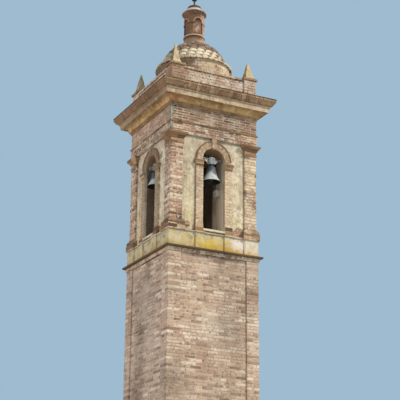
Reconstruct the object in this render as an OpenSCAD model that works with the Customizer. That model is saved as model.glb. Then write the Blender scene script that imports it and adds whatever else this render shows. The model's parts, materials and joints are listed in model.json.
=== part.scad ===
// Bell tower: a square brick shaft, a stuccoed pedestal course, a belfry open
// through one arch in each face, an attic with corner pinnacles, and a tiled dome
// with a blind lantern. The front faces -Y, the ground is at z = 0.

/* [Plan] */
// Width of the belfry across its corner pilasters
belfry_w = 2180; // [2100:2:2400]
// Thickness of the belfry walls at the corner pilasters
wall_t = 414; // [340:2:480]
// Width of the corner pilasters and the corner strips
pier_w = 295; // [240:5:330]
// How far the shaft and the pedestals stand out below the pilasters
shaft_proud = 27; // [10:1:60]
// How far the architrave and the frieze stand out over the pilasters
frieze_proud = 10; // [5:1:60]
// How far the corner strips stand out from the shaft walls
strip_proud = 30; // [15:1:60]
// How far the corner pilasters stand out from the stucco
pilaster_proud = 45; // [25:1:70]
// How far the pedestal course lies behind its pedestals
course_set_back = 32; // [15:1:60]

/* [Storey heights] */
// Height of the plinth
plinth_h = 420; // [200:10:700]
// Height of the shaft walls above the plinth
shaft_h = 8020; // [5000:10:12000]
// Height of the string course
string_h = 130; // [100:5:200]
// Height of the pedestals
pedestal_h = 365; // [250:5:600]
// Height of the thin course that caps the pedestals
cap_h = 25; // [15:1:50]
// Height of the belfry from that course to the architrave
belfry_h = 2262; // [2100:2:2600]
// Height of the architrave with its upper band
architrave_h = 283; // [220:1:400]
// Height of the frieze
frieze_h = 370; // [250:5:600]
// Height of the cornice below its coping
cornice_h = 470; // [400:5:560]
// Height of the attic pedestals
attic_h = 560; // [400:5:800]

/* [Courses] */
// How far the plinth stands out from the corner strips
plinth_proud = 50; // [20:1:120]
// How far the string course stands out from the corner strips
string_proud = 89; // [60:1:140]
// How far the cap course stands out from the pedestals
cap_proud = 32; // [15:1:60]
// How far the upper band of the architrave stands out from the frieze
band_proud = 28; // [15:1:50]
// Height of the upper band of the architrave
band_h = 40; // [25:1:60]
// How far the cornice stands out from the frieze
cornice_proud = 363; // [300:1:450]
// Thickness of the coping tiles at the cornice edge
coping_t = 27; // [15:1:50]
// Rise of the coping from its edge to the attic
coping_rise = 48; // [30:1:100]

/* [Floors] */
// Thickness of the ground floor slab
ground_floor_t = 150; // [80:5:250]
// Thickness of the belfry floor
belfry_floor_t = 140; // [80:5:250]

/* [Pilasters] */
// Height of a pilaster base
base_h = 229; // [150:1:320]
// How far a pilaster base stands out
base_proud = 59; // [30:1:80]
// Height of a pilaster capital with its necking
capital_h = 252; // [180:1:320]
// How far a capital stands out
capital_proud = 88; // [50:1:110]

/* [Arches] */
// Width of the arched openings
arch_w = 550; // [440:2:640]
// Height of the stucco between the archivolts and the architrave
crown_gap = 59; // [50:1:300]
// Width of the jamb pilasters
jamb_w = 175; // [120:1:220]
// Width of the archivolts
archivolt_w = 168; // [110:1:200]
// How far the archivolts stand out from the stucco
archivolt_proud = 38; // [20:1:44]
// Width of the keystones at the top
keystone_w = 118; // [80:1:160]
// Height of the imposts
impost_h = 150; // [100:1:220]
// Height of the straight stilt between impost and arch
stilt_h = 60; // [20:1:120]
// How far the imposts stand out
impost_proud = 44; // [20:1:70]
// Height of the sill slabs' underside above the cap course
sill_z = 40; // [10:1:80]
// Thickness of the sill slabs
sill_t = 45; // [30:1:80]
// How far the sills stand out from the jamb pilasters
sill_proud = 32; // [10:1:60]

/* [Attic] */
// Width of the attic pedestals
attic_pier_w = 300; // [220:5:340]
// Thickness of the parapets
parapet_t = 130; // [90:5:150]
// How far the parapets lie behind the attic pedestals
parapet_set_back = 38; // [15:1:60]
// Thickness of the attic copings
attic_coping_t = 45; // [25:1:70]
// How far the attic copings stand out
attic_coping_proud = 32; // [15:1:60]
// Width of a pinnacle at its foot
pinnacle_w = 250; // [150:5:280]
// Height of the pinnacles
pinnacle_h = 535; // [400:5:800]
// Width of the blunt tip of a pinnacle
pinnacle_tip_w = 24; // [10:1:60]

/* [Dome] */
// Gap between the drum and the parapets round it
drum_gap = 60; // [30:5:200]
// Thickness of the drum wall
drum_t = 230; // [120:5:300]
// Height of the drum above the cornice
drum_h = 980; // [800:5:1200]
// How far the tile ring at the eave stands out from the drum
eave_proud = 55; // [30:1:90]
// Thickness of the tile ring at the eave
eave_t = 46; // [25:1:80]
// How much smaller the radius of the dome's curve is than the drum's
dome_in = 95; // [60:5:130]
// Thickness of the dome shell
dome_t = 125; // [100:5:160]
// Depth of the dome's centre below the top of the eave
dome_drop = 90; // [60:5:150]
// Number of tile courses on the dome
dome_courses = 7; // [5:1:10]
// Step of a tile course
course_step = 16; // [6:1:30]

/* [Lantern] */
// Diameter of the lantern shaft
lantern_d = 488; // [400:2:600]
// Height of the plain foot of the lantern
lantern_foot_h = 265; // [180:5:400]
// Height of the lantern shaft
lantern_h = 560; // [400:5:800]
// Height of the ring at the lantern's foot
lantern_ring_h = 42; // [25:1:70]
// Number of blind niches round the lantern
niches = 4; // [3:1:5]
// Width of a niche
niche_w = 210; // [140:2:230]
// Depth of a niche
niche_depth = 30; // [15:1:60]
// Diameter of the lantern cornice
lantern_cornice_d = 600; // [520:5:720]
// Height of the lantern cornice
lantern_cornice_h = 90; // [70:5:150]
// Diameter of the pale ring over the lantern cornice
lantern_ring_d = 370; // [300:5:450]
// Diameter of the dark cap
lantern_cap_d = 326; // [240:2:360]
// Diameter of the finial ball
ball_d = 140; // [80:2:180]
// Height of the cross above the ball
cross_h = 420; // [300:5:700]

/* [Bells] */
// Mouth diameter of the front bell
front_bell_d = 432; // [380:2:450]
// Mouth diameter of the left bell
left_bell_d = 404; // [360:2:450]
// Height of the axles above the spring of the arches
axle_rise = 60; // [20:5:90]
// Distance of the axles behind the pilaster faces
axle_inset = 145; // [100:5:250]
// Diameter of the axles
axle_d = 32; // [20:1:45]
// Running clearance of an axle in its bearing
axle_gap = 0.4; // [0.2:0.1:1]
// Height of a bell as a share of its mouth diameter
bell_share = 0.77; // [0.7:0.005:0.95]
// Thickness of a bell at its lip
bell_lip_t = 26; // [15:1:40]
// Thickness of a bell at its waist
bell_waist_t = 15; // [10:1:25]

/* [Hidden] */
$fn = 96;

brick = "#a97c5c";
pale_brick = "#c2a07c";
stucco = "#cfc09c";
lichen_stucco = "#c8b47c";
stone = "#d8d0bc";
terracotta = "#b88a68";
ochre = "#c4a878";
bronze = "#6d7478";
iron = "#7c8280";
dark_metal = "#4a463e";

belfry_half = belfry_w / 2;
shaft_half = belfry_half + shaft_proud;
frieze_half = belfry_half + frieze_proud;
room_half = belfry_half - wall_t;
attic_set_back = 2;
attic_half = frieze_half - attic_set_back;
shaft_wall_half = shaft_half - strip_proud;
course_half = shaft_half - course_set_back;
stucco_half = belfry_half - pilaster_proud;
parapet_half = attic_half - parapet_set_back;

shaft_z = plinth_h;
string_z = shaft_z + shaft_h;
pedestal_z = string_z + string_h;
cap_z = pedestal_z + pedestal_h;
belfry_z = cap_z + cap_h;
architrave_z = belfry_z + belfry_h;
frieze_z = architrave_z + architrave_h;
cornice_z = frieze_z + frieze_h;
attic_z = cornice_z + cornice_h;
attic_top_z = attic_z + attic_h;
pinnacle_z = attic_top_z + attic_coping_t;
eave_z = attic_z + drum_h;
dome_z = eave_z + eave_t;
drum_r = parapet_half - parapet_t - drum_gap;
dome_r = drum_r - dome_in;
dome_centre_z = dome_z - dome_drop;
capital_z = architrave_z - capital_h;
spring_z = architrave_z - crown_gap - archivolt_w - arch_w / 2;
impost_z = spring_z - stilt_h - impost_h;
impost_top_z = impost_z + impost_h;
sill_bottom_z = belfry_z + sill_z;
sill_top_z = sill_bottom_z + sill_t;
axle_z = spring_z + axle_rise;
axle_y = -(belfry_half - axle_inset);
arch_r = arch_w / 2;
pier_centre = belfry_half - pier_w / 2;
pier_inner = belfry_half - pier_w;
strip_inner = shaft_half - pier_w;
pinnacle_shift = 14;
pinnacle_centre = attic_half - attic_pier_w / 2 + pinnacle_shift;
lantern_r = lantern_d / 2;
lantern_foot_proud = 8;
lantern_foot_r = lantern_r + lantern_foot_proud;
lantern_z = dome_centre_z + sqrt(pow(dome_r, 2) - pow(lantern_foot_r, 2));
lantern_shaft_z = lantern_z + lantern_foot_h;
lantern_cornice_z = lantern_shaft_z + lantern_h;
lantern_ring_z = lantern_cornice_z + lantern_cornice_h;
lantern_top_ring_h = 128;
lantern_cap_z = lantern_ring_z + lantern_top_ring_h;
lantern_cap_h = 81;
finial_z = lantern_cap_z + lantern_cap_h;
neck_h = 158;
ball_z = finial_z + neck_h + ball_d / 2;
niche_foot = 36;
impost_ring_z = 310;
impost_ring_h = 26;
stub_h = 58;
stub_r = 44;
headstock_drop = 130;
shoulder_share = 0.25;
axle_end_gap = 12;
eye_r = 14;
eye_w = 20;
eye_gap = 8;
eye_side_gap = 2;
cheek_t = 6;
cheek_w = 30;
pin_d = 12;
bedding = 0.3;
iron_t = 7;
iron_leg = 44;
architrave_proud = 8;
architrave_step_z = 72;
iron_gap = 0.5;
crown_z = axle_z - headstock_drop;
// Length of a cut or a profile that runs past the whole tower
reach = 2 * belfry_w;

// Depth of the clapper's pivot below the crown of a bell
pivot_drop = stub_h + bell_waist_t + eye_r + eye_gap;

// A closed profile on both sides of the axis from one side's [half width, z] points
function both_sides(p) = concat(p, [for (i = [len(p) - 1 : -1 : 0]) [-p[i][0], p[i][1]]]);

// Points along an arc in a profile
function arc_points(x, z, r, from, to, steps) =
    [for (i = [0 : steps]) let (a = from + (to - from) * i / steps) [x + r * cos(a), z + r * sin(a)]];

// A mitred square solid whose half width follows a profile of [half width, z]
module square_run(p) {
    intersection() {
        rotate([90, 0, 0]) linear_extrude(height = reach, center = true) polygon(both_sides(p));
        rotate([90, 0, 90]) linear_extrude(height = reach, center = true) polygon(both_sides(p));
    }
}

// A block between two heights, square in plan, centred on the axis
module square_block(half, z0, z1) {
    translate([-half, -half, z0]) cube([2 * half, 2 * half, z1 - z0]);
}

// A square ring between two heights
module square_ring(outer, inner, z0, z1) {
    difference() {
        square_block(outer, z0, z1);
        square_block(inner, z0 - 1, z1 + 1);
    }
}

// The same children at all four corners, drawn for the +X +Y corner
module four_corners() {
    for (a = [0 : 90 : 270]) rotate([0, 0, a]) children();
}

// The same children on all four faces, drawn for the front face
module four_faces() {
    for (a = [0 : 90 : 270]) rotate([0, 0, a]) children();
}

// The same children on both sides of an arch
module both_jambs() {
    children();
    mirror([1, 0, 0]) children();
}

// A corner post, square in plan
module corner_post(inner, outer, z0, z1) {
    four_corners() translate([inner, inner, z0]) cube([outer - inner, outer - inner, z1 - z0]);
}

// Mouldings round the corner piers, cut back where the walls between them stand.
// The profile gives how far they stand out at each height.
module pier_mouldings(p, centre, half, wall_inner, wall_outer) {
    top = p[len(p) - 1][1];
    bottom = p[0][1];
    four_corners() difference() {
        translate([centre, centre, 0]) square_run([for (q = p) [half + q[0], q[1]]]);
        translate([0, 0, bottom - 1]) cube([wall_inner, wall_outer, top - bottom + 2]);
        translate([0, 0, bottom - 1]) cube([wall_outer, wall_inner, top - bottom + 2]);
    }
}

// A front or back wall between the corner posts
module long_wall(post_inner, outer, z0, z1) {
    translate([-post_inner, -outer, z0]) cube([2 * post_inner, outer - room_half, z1 - z0]);
}

// A side wall between the corner posts, rebated round the front and back walls
module short_wall(post_inner, outer, z0, z1) {
    translate([-outer, -room_half, z0]) cube([outer - room_half, 2 * room_half, z1 - z0]);
    translate([-outer, -post_inner, z0]) cube([outer - post_inner, 2 * post_inner, z1 - z0]);
}

// The arched cut through a wall, drawn for the front
module arch_cut() {
    translate([-arch_r, -belfry_w, sill_bottom_z]) cube([arch_w, belfry_w, spring_z - sill_bottom_z]);
    translate([0, 0, spring_z]) rotate([90, 0, 0]) cylinder(r = arch_r, h = belfry_w);
}

// A block that stands out from the stucco beside an arch, drawn for the right jamb
module jamb_block(z0, z1, proud, side_proud) {
    translate([arch_r, -(stucco_half + proud), z0])
        cube([jamb_w + side_proud, proud, z1 - z0]);
}

module plinth() {
    color(brick) difference() {
        square_run([
            [shaft_half + plinth_proud, 0],
            [shaft_half + plinth_proud, plinth_h - plinth_proud],
            [shaft_half, plinth_h]]);
        square_block(room_half, -1, plinth_h + 1);
    }
}

module ground_floor() {
    color(brick) square_block(room_half, 0, ground_floor_t);
}

module front_shaft_wall() {
    color(brick) long_wall(strip_inner, shaft_wall_half, shaft_z, string_z);
}

module back_shaft_wall() {
    color(brick) rotate([0, 0, 180]) long_wall(strip_inner, shaft_wall_half, shaft_z, string_z);
}

module left_shaft_wall() {
    color(brick) short_wall(strip_inner, shaft_wall_half, shaft_z, string_z);
}

module right_shaft_wall() {
    color(brick) rotate([0, 0, 180]) short_wall(strip_inner, shaft_wall_half, shaft_z, string_z);
}

module corner_strips() {
    color(brick) corner_post(strip_inner, shaft_half, shaft_z, string_z);
}

module string_course() {
    lip = shaft_half + string_proud;
    bead = shaft_half + 26;
    color(pale_brick) difference() {
        square_run([
            [shaft_half + 10, string_z],
            [bead, string_z + 14],
            [bead, string_z + string_h * 0.58],
            [lip, string_z + string_h * 0.63],
            [lip, string_z + string_h * 0.9],
            [bead, string_z + string_h]]);
        square_block(room_half, string_z - 1, pedestal_z + 1);
    }
}

module pedestal_course() {
    color(lichen_stucco) difference() {
        square_ring(course_half, room_half, pedestal_z, cap_z);
        corner_post(pier_inner, course_half + 1, pedestal_z - 1, cap_z + 1);
    }
}

module pedestals() {
    jamb_side = 12;
    color(lichen_stucco) {
        pier_mouldings([[shaft_proud, pedestal_z], [shaft_proud, cap_z]], pier_centre, pier_w / 2,
            pier_inner, course_half);
        four_faces() both_jambs()
            translate([arch_r - jamb_side, -shaft_half, pedestal_z])
                cube([jamb_w + 2 * jamb_side, course_set_back, pedestal_h]);
    }
}

module pedestal_caps() {
    cap_half = course_half + cap_proud;
    lip = shaft_half + cap_proud;
    side = shaft_proud + cap_proud;
    jamb_side = 26;
    color(pale_brick) difference() {
        union() {
            square_block(cap_half, cap_z, belfry_z);
            four_corners() translate([pier_inner - side, pier_inner - side, cap_z])
                cube([lip - pier_inner + side, lip - pier_inner + side, cap_h]);
            four_faces() both_jambs()
                translate([arch_r - jamb_side, -lip, cap_z])
                    cube([jamb_w + 2 * jamb_side, lip - room_half - 1, cap_h]);
        }
        square_block(room_half, cap_z - 1, belfry_z + 1);
    }
}

module belfry_floor() {
    color(brick) square_block(room_half, cap_z - belfry_floor_t, cap_z);
}

module corner_pilasters() {
    color(brick) corner_post(pier_inner, belfry_half, belfry_z + base_h, capital_z);
}

module pilaster_bases() {
    z = belfry_z;
    color(pale_brick) pier_mouldings([
        [base_proud, z],
        [base_proud, z + base_h * 0.46],
        [base_proud - 18, z + base_h * 0.5],
        [base_proud - 8, z + base_h * 0.6],
        [base_proud - 8, z + base_h * 0.74],
        [base_proud - 20, z + base_h * 0.84],
        [10, z + base_h * 0.92],
        [10, z + base_h]], pier_centre, pier_w / 2, pier_inner, stucco_half);
}

module pilaster_capitals() {
    z = capital_z;
    h = capital_h;
    color(pale_brick) pier_mouldings([
        [12, z],
        [18, z + h * 0.05],
        [18, z + h * 0.12],
        [6, z + h * 0.16],
        [6, z + h * 0.42],
        [20, z + h * 0.47],
        [34, z + h * 0.6],
        [66, z + h * 0.74],
        [capital_proud - 8, z + h * 0.8],
        [capital_proud, z + h * 0.84],
        [capital_proud, z + h]], pier_centre, pier_w / 2, pier_inner, stucco_half);
}

module front_belfry_wall() {
    color(stucco) difference() {
        long_wall(pier_inner, stucco_half, belfry_z, architrave_z);
        arch_cut();
    }
}

module back_belfry_wall() {
    rotate([0, 0, 180]) front_belfry_wall();
}

module left_belfry_wall() {
    color(stucco) difference() {
        short_wall(pier_inner, stucco_half, belfry_z, architrave_z);
        rotate([0, 0, -90]) arch_cut();
    }
}

module right_belfry_wall() {
    rotate([0, 0, 180]) left_belfry_wall();
}

module jamb_pilasters() {
    foot_h = 200;
    foot_proud = 30;
    foot_step_proud = 16;
    half_z = belfry_z + foot_h / 2;
    color(pale_brick) four_faces() both_jambs() {
        jamb_block(belfry_z, half_z, pilaster_proud + foot_proud, foot_proud / 2);
        jamb_block(half_z, belfry_z + foot_h, pilaster_proud + foot_step_proud, foot_step_proud / 2);
        jamb_block(belfry_z + foot_h, impost_z, pilaster_proud, 0);
    }
}

module imposts() {
    low_z = impost_z + impost_h * 0.3;
    high_z = impost_z + impost_h * 0.62;
    low_proud = impost_proud * 0.32;
    mid_proud = impost_proud * 0.6;
    color(pale_brick) four_faces() both_jambs() {
        jamb_block(impost_z, low_z, pilaster_proud + low_proud, low_proud);
        jamb_block(low_z, high_z, pilaster_proud + mid_proud, mid_proud);
        jamb_block(high_z, impost_top_z, pilaster_proud + impost_proud, impost_proud);
    }
}

module archivolts() {
    outer_r = arch_r + archivolt_w;
    fillet_w = 22;
    fillet_proud = 12;
    key_low_w = keystone_w * 0.72;
    key_low_z = spring_z + arch_r;
    key_proud = 60;
    color(pale_brick) four_faces() difference() {
        union() {
            translate([0, -stucco_half, spring_z]) rotate([90, 0, 0]) {
                cylinder(r = outer_r, h = archivolt_proud);
                difference() {
                    cylinder(r = outer_r, h = archivolt_proud + fillet_proud);
                    translate([0, 0, -1]) cylinder(r = outer_r - fillet_w, h = reach);
                }
            }
            translate([-outer_r, -(stucco_half + archivolt_proud), impost_top_z])
                cube([2 * outer_r, archivolt_proud, stilt_h]);
            translate([0, -stucco_half, 0]) rotate([90, 0, 0]) linear_extrude(height = key_proud)
                polygon([[-key_low_w / 2, key_low_z - 12], [key_low_w / 2, key_low_z - 12],
                    [keystone_w / 2, architrave_z], [-keystone_w / 2, architrave_z]]);
        }
        translate([0, 1, spring_z]) rotate([90, 0, 0]) cylinder(r = arch_r, h = reach);
        translate([-arch_r, -reach, spring_z - reach]) cube([arch_w, reach, reach]);
        translate([-reach, -reach, spring_z - stilt_h - reach]) cube([2 * reach, reach, reach]);
    }
}

module sills() {
    color(stone) four_faces()
        translate([-arch_r, -(belfry_half + sill_proud), sill_bottom_z])
            cube([arch_w, belfry_half + sill_proud - room_half, sill_t]);
}

module architrave() {
    step_z = architrave_z + architrave_step_z;
    band_z = frieze_z - band_h;
    color(brick) difference() {
        square_run([
            [frieze_half - 2, architrave_z],
            [frieze_half - 2, step_z],
            [frieze_half + architrave_proud, step_z + 4],
            [frieze_half + architrave_proud / 2, band_z],
            [frieze_half + band_proud, band_z + 10],
            [frieze_half + band_proud, frieze_z - 4],
            [frieze_half + band_proud - 8, frieze_z]]);
        square_block(room_half, architrave_z - 1, frieze_z + 1);
        iron_slot();
    }
}

module frieze() {
    color(brick) square_ring(frieze_half, room_half, frieze_z, cornice_z);
}

module cornice() {
    z = cornice_z;
    half = frieze_half;
    cove_r = 142;
    cove_z = z + 76;
    fascia_z = cove_z + 110;
    fillet_z = fascia_z + 98;
    cyma_r = 70;
    cyma_z = fillet_z + 38;
    edge_h = 36;
    lip = half + cornice_proud - 150;
    fillet = lip + 34;
    top = half + cornice_proud - 8;
    color(ochre) difference() {
        square_run(concat([
            [half + 14, z],
            [half + 14, z + 26],
            [half + 30, z + 30],
            [half + 30, z + 52],
            [half + 48, z + 56],
            [half + 48, cove_z]],
            arc_points(lip - 14, cove_z, cove_r, 180, 90, 5),
            [[lip, fascia_z],
            [lip + 20, fillet_z],
            [fillet, fillet_z + 4],
            [fillet, cyma_z]],
            arc_points(fillet, cyma_z + cyma_r, cyma_r, -90, -20, 4),
            [[top, attic_z - edge_h],
            [top, attic_z]]));
        translate([0, 0, z - 1]) cylinder(r = drum_r - drum_t, h = cornice_h + 2);
    }
}

module cornice_coping() {
    edge = frieze_half + cornice_proud;
    color(terracotta) difference() {
        square_run([
            [edge - 8, attic_z],
            [edge, attic_z + 6],
            [edge, attic_z + coping_t],
            [attic_half, attic_z + coping_rise + coping_t],
            [parapet_half, attic_z + coping_rise + coping_t + 2]]);
        square_block(parapet_half, attic_z - 1, attic_z + reach);
        corner_post(attic_half - attic_pier_w, attic_half, attic_z - 1, attic_z + reach);
    }
}

// The room that the corner iron takes from the mouldings at the near corner
module iron_slot() {
    side = iron_leg + 1;
    half = frieze_half + architrave_proud + iron_gap;
    foot = architrave_z + architrave_step_z - 12;
    for (turn = [0, 1]) mirror([turn, -turn, 0])
        translate([-half - reach, -half - reach, foot]) cube([reach, reach + side, reach]);
}

// An angle along the near corner between two heights
module corner_angle(leg, z0, z1) {
    inner = frieze_half + architrave_proud + iron_gap;
    outer = inner + iron_t;
    translate([-outer, -outer, z0]) difference() {
        cube([leg, leg, z1 - z0]);
        translate([iron_t, iron_t, -1]) cube([leg, leg, z1 - z0 + 2]);
    }
}

module corner_iron() {
    foot = architrave_z + architrave_step_z - 10;
    head = cornice_z - 2;
    plate_h = 36;
    plate_leg = iron_leg * 1.8;
    color(iron) {
        corner_angle(iron_leg, foot, head);
        corner_angle(plate_leg, foot, foot + plate_h);
        corner_angle(plate_leg, head - plate_h, head);
    }
}

module parapets() {
    post_inner = attic_half - attic_pier_w;
    color(pale_brick) four_faces()
        translate([-post_inner, -parapet_half, attic_z])
            cube([2 * post_inner, parapet_t, attic_h - attic_coping_t]);
}

module attic_pedestals() {
    color(brick) corner_post(attic_half - attic_pier_w, attic_half, attic_z, attic_top_z);
}

module attic_copings() {
    post_inner = attic_half - attic_pier_w;
    cap_side = post_inner - attic_coping_proud;
    lip = attic_half + attic_coping_proud;
    coping_z = attic_top_z - attic_coping_t;
    inner_proud = 12;
    color(terracotta) {
        four_corners() translate([cap_side, cap_side, attic_top_z])
            cube([lip - cap_side, lip - cap_side, attic_coping_t]);
        four_faces() translate([-post_inner, -parapet_half - attic_coping_proud, coping_z])
            cube([2 * post_inner, parapet_t + attic_coping_proud + inner_proud, attic_coping_t]);
    }
}

module pinnacles() {
    foot_h = 34;
    half = pinnacle_w / 2;
    color(ochre) four_corners() translate([pinnacle_centre, pinnacle_centre, 0])
        square_run([
            [half + 8, pinnacle_z],
            [half + 8, pinnacle_z + foot_h],
            [half - 6, pinnacle_z + foot_h + 6],
            [half * 0.51, pinnacle_z + pinnacle_h * 0.5],
            [pinnacle_tip_w / 2, pinnacle_z + pinnacle_h]]);
}

module drum() {
    color(brick) translate([0, 0, attic_z]) difference() {
        cylinder(r = drum_r, h = drum_h);
        translate([0, 0, -1]) cylinder(r = drum_r - drum_t, h = drum_h + 2);
    }
}

module dome_eave() {
    color(terracotta) translate([0, 0, eave_z]) difference() {
        cylinder(r = drum_r + eave_proud, h = eave_t);
        translate([0, 0, -1]) cylinder(r = drum_r - drum_t, h = eave_t + 2);
    }
}

// Outline of the dome from the eave to the lantern, one step for each tile course
module dome_outline() {
    low = asin(dome_drop / dome_r);
    high = acos(lantern_foot_r / dome_r);
    inner_r = dome_r - dome_t;
    inner_low = asin(dome_drop / inner_r);
    outer = [for (i = [0 : dome_courses - 1], end = [0, 1])
        let (a = low + (high - low) * (i + end) / dome_courses, r = dome_r + (end == 0 ? course_step : 0))
        [r * cos(a), r * sin(a)]];
    inner = [for (i = [0 : 12]) let (a = 90 - (90 - inner_low) * i / 12) [inner_r * cos(a), inner_r * sin(a)]];
    intersection() {
        polygon(concat(outer, [[lantern_foot_r, dome_r * sin(high)], [0, dome_r * sin(high)]], inner));
        translate([0, dome_drop]) square([dome_r * 2, dome_r]);
    }
}

module dome() {
    color(terracotta) translate([0, 0, dome_centre_z]) rotate_extrude() dome_outline();
}

module lantern_foot() {
    collar_h = 52;
    collar_proud = 22;
    ring_proud = 11;
    ring_z = lantern_foot_h - lantern_ring_h;
    color(brick) translate([0, 0, lantern_z]) {
        cylinder(r = lantern_foot_r + collar_proud, h = collar_h);
        cylinder(r = lantern_foot_r, h = ring_z);
        translate([0, 0, ring_z]) cylinder(r = lantern_foot_r + ring_proud, h = lantern_ring_h);
    }
}

// Outline of a blind niche, its foot at y = 0
module niche_outline() {
    niche_spring = impost_ring_z + impost_ring_h - niche_foot;
    translate([-niche_w / 2, 0]) square([niche_w, niche_spring]);
    translate([0, niche_spring]) circle(d = niche_w);
}

module lantern() {
    impost_ring_proud = 16;
    color(brick) translate([0, 0, lantern_shaft_z]) {
        cylinder(r = lantern_r - niche_depth, h = lantern_h);
        difference() {
            union() {
                cylinder(r = lantern_r, h = lantern_h);
                translate([0, 0, impost_ring_z]) cylinder(r = lantern_r + impost_ring_proud, h = impost_ring_h);
            }
            for (i = [0 : niches - 1]) rotate([0, 0, 360 * i / niches])
                translate([0, 0, niche_foot]) rotate([90, 0, 0]) linear_extrude(height = lantern_d) niche_outline();
        }
    }
}

module lantern_cornice() {
    r = lantern_cornice_d / 2;
    h = lantern_cornice_h;
    color(brick) translate([0, 0, lantern_cornice_z]) {
        rotate_extrude() polygon([
            [0, 0], [lantern_r + 6, 0], [lantern_r + 14, h * 0.2], [lantern_r + 22, h * 0.45],
            [r - 8, h * 0.75], [r, h * 0.8], [r, h], [0, h]]);
        translate([0, 0, h]) cylinder(d = lantern_ring_d, h = lantern_top_ring_h);
    }
}

module lantern_cap() {
    r = lantern_cap_d / 2;
    color(dark_metal) translate([0, 0, lantern_cap_z]) rotate_extrude() polygon(concat(
        [[0, 0], [r, 0], [r, lantern_cap_h * 0.7]],
        [for (i = [1 : 6]) let (a = 90 * i / 6) [20 + (r - 20) * cos(a), lantern_cap_h * (0.7 + 0.3 * sin(a))]],
        [[0, lantern_cap_h]]));
}

module finial() {
    neck_r = 20;
    bar = 24;
    arm = 260;
    color(dark_metal) {
        translate([0, 0, finial_z]) cylinder(r = neck_r, h = neck_h + 6);
        translate([0, 0, ball_z]) sphere(d = ball_d);
        translate([-bar / 2, -bar / 2, ball_z]) cube([bar, bar, ball_d / 2 + cross_h]);
        translate([-arm / 2, -bar / 2, ball_z + ball_d / 2 + cross_h * 0.62]) cube([arm, bar, bar]);
    }
}

// Radius of a bell's outside at a share t of its height above the lip
function bell_radius(d, t) = d * (shoulder_share + (0.5 - shoulder_share) * pow(1 - t, 2.1));

// A bell hung below its headstock, with its crown at z = 0
module bell(d) {
    h = d * bell_share;
    shoulder = d * shoulder_share;
    cap = d * 0.085;
    steps = 12;
    inner_shoulder = shoulder - bell_waist_t;
    inner_cap = cap - bell_waist_t;
    outer = [for (i = [0 : steps]) [bell_radius(d, i / steps), h * i / steps]];
    inner = [for (i = [steps : -1 : 0]) let (t = i / steps)
        [bell_radius(d, t) - bell_waist_t - (bell_lip_t - bell_waist_t) * pow(1 - t, 3), h * t]];
    outer_cap = [for (a = [18 : 18 : 90]) [stub_r + (shoulder - stub_r) * cos(a), h + cap * sin(a)]];
    inner_top = [for (a = [72 : -18 : 18]) [inner_shoulder * cos(a), h + inner_cap * sin(a)]];
    translate([0, 0, -(h + cap + stub_h)]) {
        rotate_extrude() polygon(concat(outer, outer_cap,
            [[stub_r, h + cap + stub_h], [0, h + cap + stub_h], [0, h + inner_cap]], inner_top, inner));
    }
    for (side = [-1, 1]) translate([side * (eye_w / 2 + eye_side_gap + cheek_t / 2), 0, 0]) difference() {
        translate([-cheek_t / 2, -cheek_w / 2, -pivot_drop - cheek_w / 2])
            cube([cheek_t, cheek_w, cheek_w / 2 + eye_r + eye_gap + bell_waist_t * 0.6]);
        translate([0, 0, -pivot_drop]) rotate([0, 90, 0])
            cylinder(d = pin_d + 2 * axle_gap, h = cheek_t * 4, center = true);
    }
}

// The headstock with its axle, the axle along X at the origin
module headstock(d) {
    w = d * 0.32;
    depth = d * 0.27;
    rise = d * 0.076;
    axle_l = arch_w - 2 * axle_end_gap;
    translate([0, depth / 2, 0]) rotate([90, 0, 0]) linear_extrude(height = depth) intersection() {
        union() {
            scale([1, 2 * rise / w]) circle(d = w);
            translate([-w / 2, -headstock_drop]) square([w, headstock_drop]);
        }
        translate([-w / 2, -headstock_drop]) square([w, headstock_drop + w]);
    }
    translate([-axle_l / 2, 0, 0]) rotate([0, 90, 0]) cylinder(d = axle_d, h = axle_l);
}

// The clapper with its pin, the pivot at the origin
module clapper(d) {
    rod_l = d * 0.60;
    ball = d * 0.19;
    rotate([0, 90, 0]) cylinder(r = eye_r, h = eye_w, center = true);
    rotate([0, 90, 0]) cylinder(d = pin_d, h = eye_w + 2 * (eye_side_gap + cheek_t) + 8, center = true);
    translate([0, 0, -rod_l]) {
        cylinder(d = 18, h = rod_l);
        sphere(d = ball);
        translate([0, 0, -ball * 0.72]) cylinder(d = 26, h = ball * 0.5);
    }
}

module front_bell() {
    color(bronze) translate([0, axle_y, crown_z]) bell(front_bell_d);
}

module front_headstock() {
    color(iron) translate([0, axle_y, axle_z]) headstock(front_bell_d);
}

module front_clapper() {
    color(iron) translate([0, axle_y, crown_z - pivot_drop]) clapper(front_bell_d);
}

module left_bell() {
    color(bronze) rotate([0, 0, -90]) translate([0, axle_y, crown_z]) bell(left_bell_d);
}

module left_headstock() {
    color(iron) rotate([0, 0, -90]) translate([0, axle_y, axle_z]) headstock(left_bell_d);
}

module left_clapper() {
    color(iron) rotate([0, 0, -90]) translate([0, axle_y, crown_z - pivot_drop])
        clapper(left_bell_d);
}

module bell_bearings() {
    block_t = 34;
    block_w = 96;
    color(iron) for (turn = [0, -90]) rotate([0, 0, turn]) both_jambs() intersection() {
        translate([arch_r - block_t, axle_y, axle_z]) difference() {
            translate([0, -block_w / 2, -block_w / 2]) cube([block_t, block_w, block_w]);
            translate([-1, 0, 0]) rotate([0, 90, 0]) cylinder(d = axle_d + 2 * axle_gap, h = block_t + 2);
        }
        union() {
            translate([0, 0, spring_z]) rotate([90, 0, 0]) cylinder(r = arch_r - bedding, h = belfry_w);
            translate([0, -belfry_w, sill_bottom_z]) cube([arch_r, belfry_w, spring_z - sill_bottom_z]);
        }
    }
}

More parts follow.
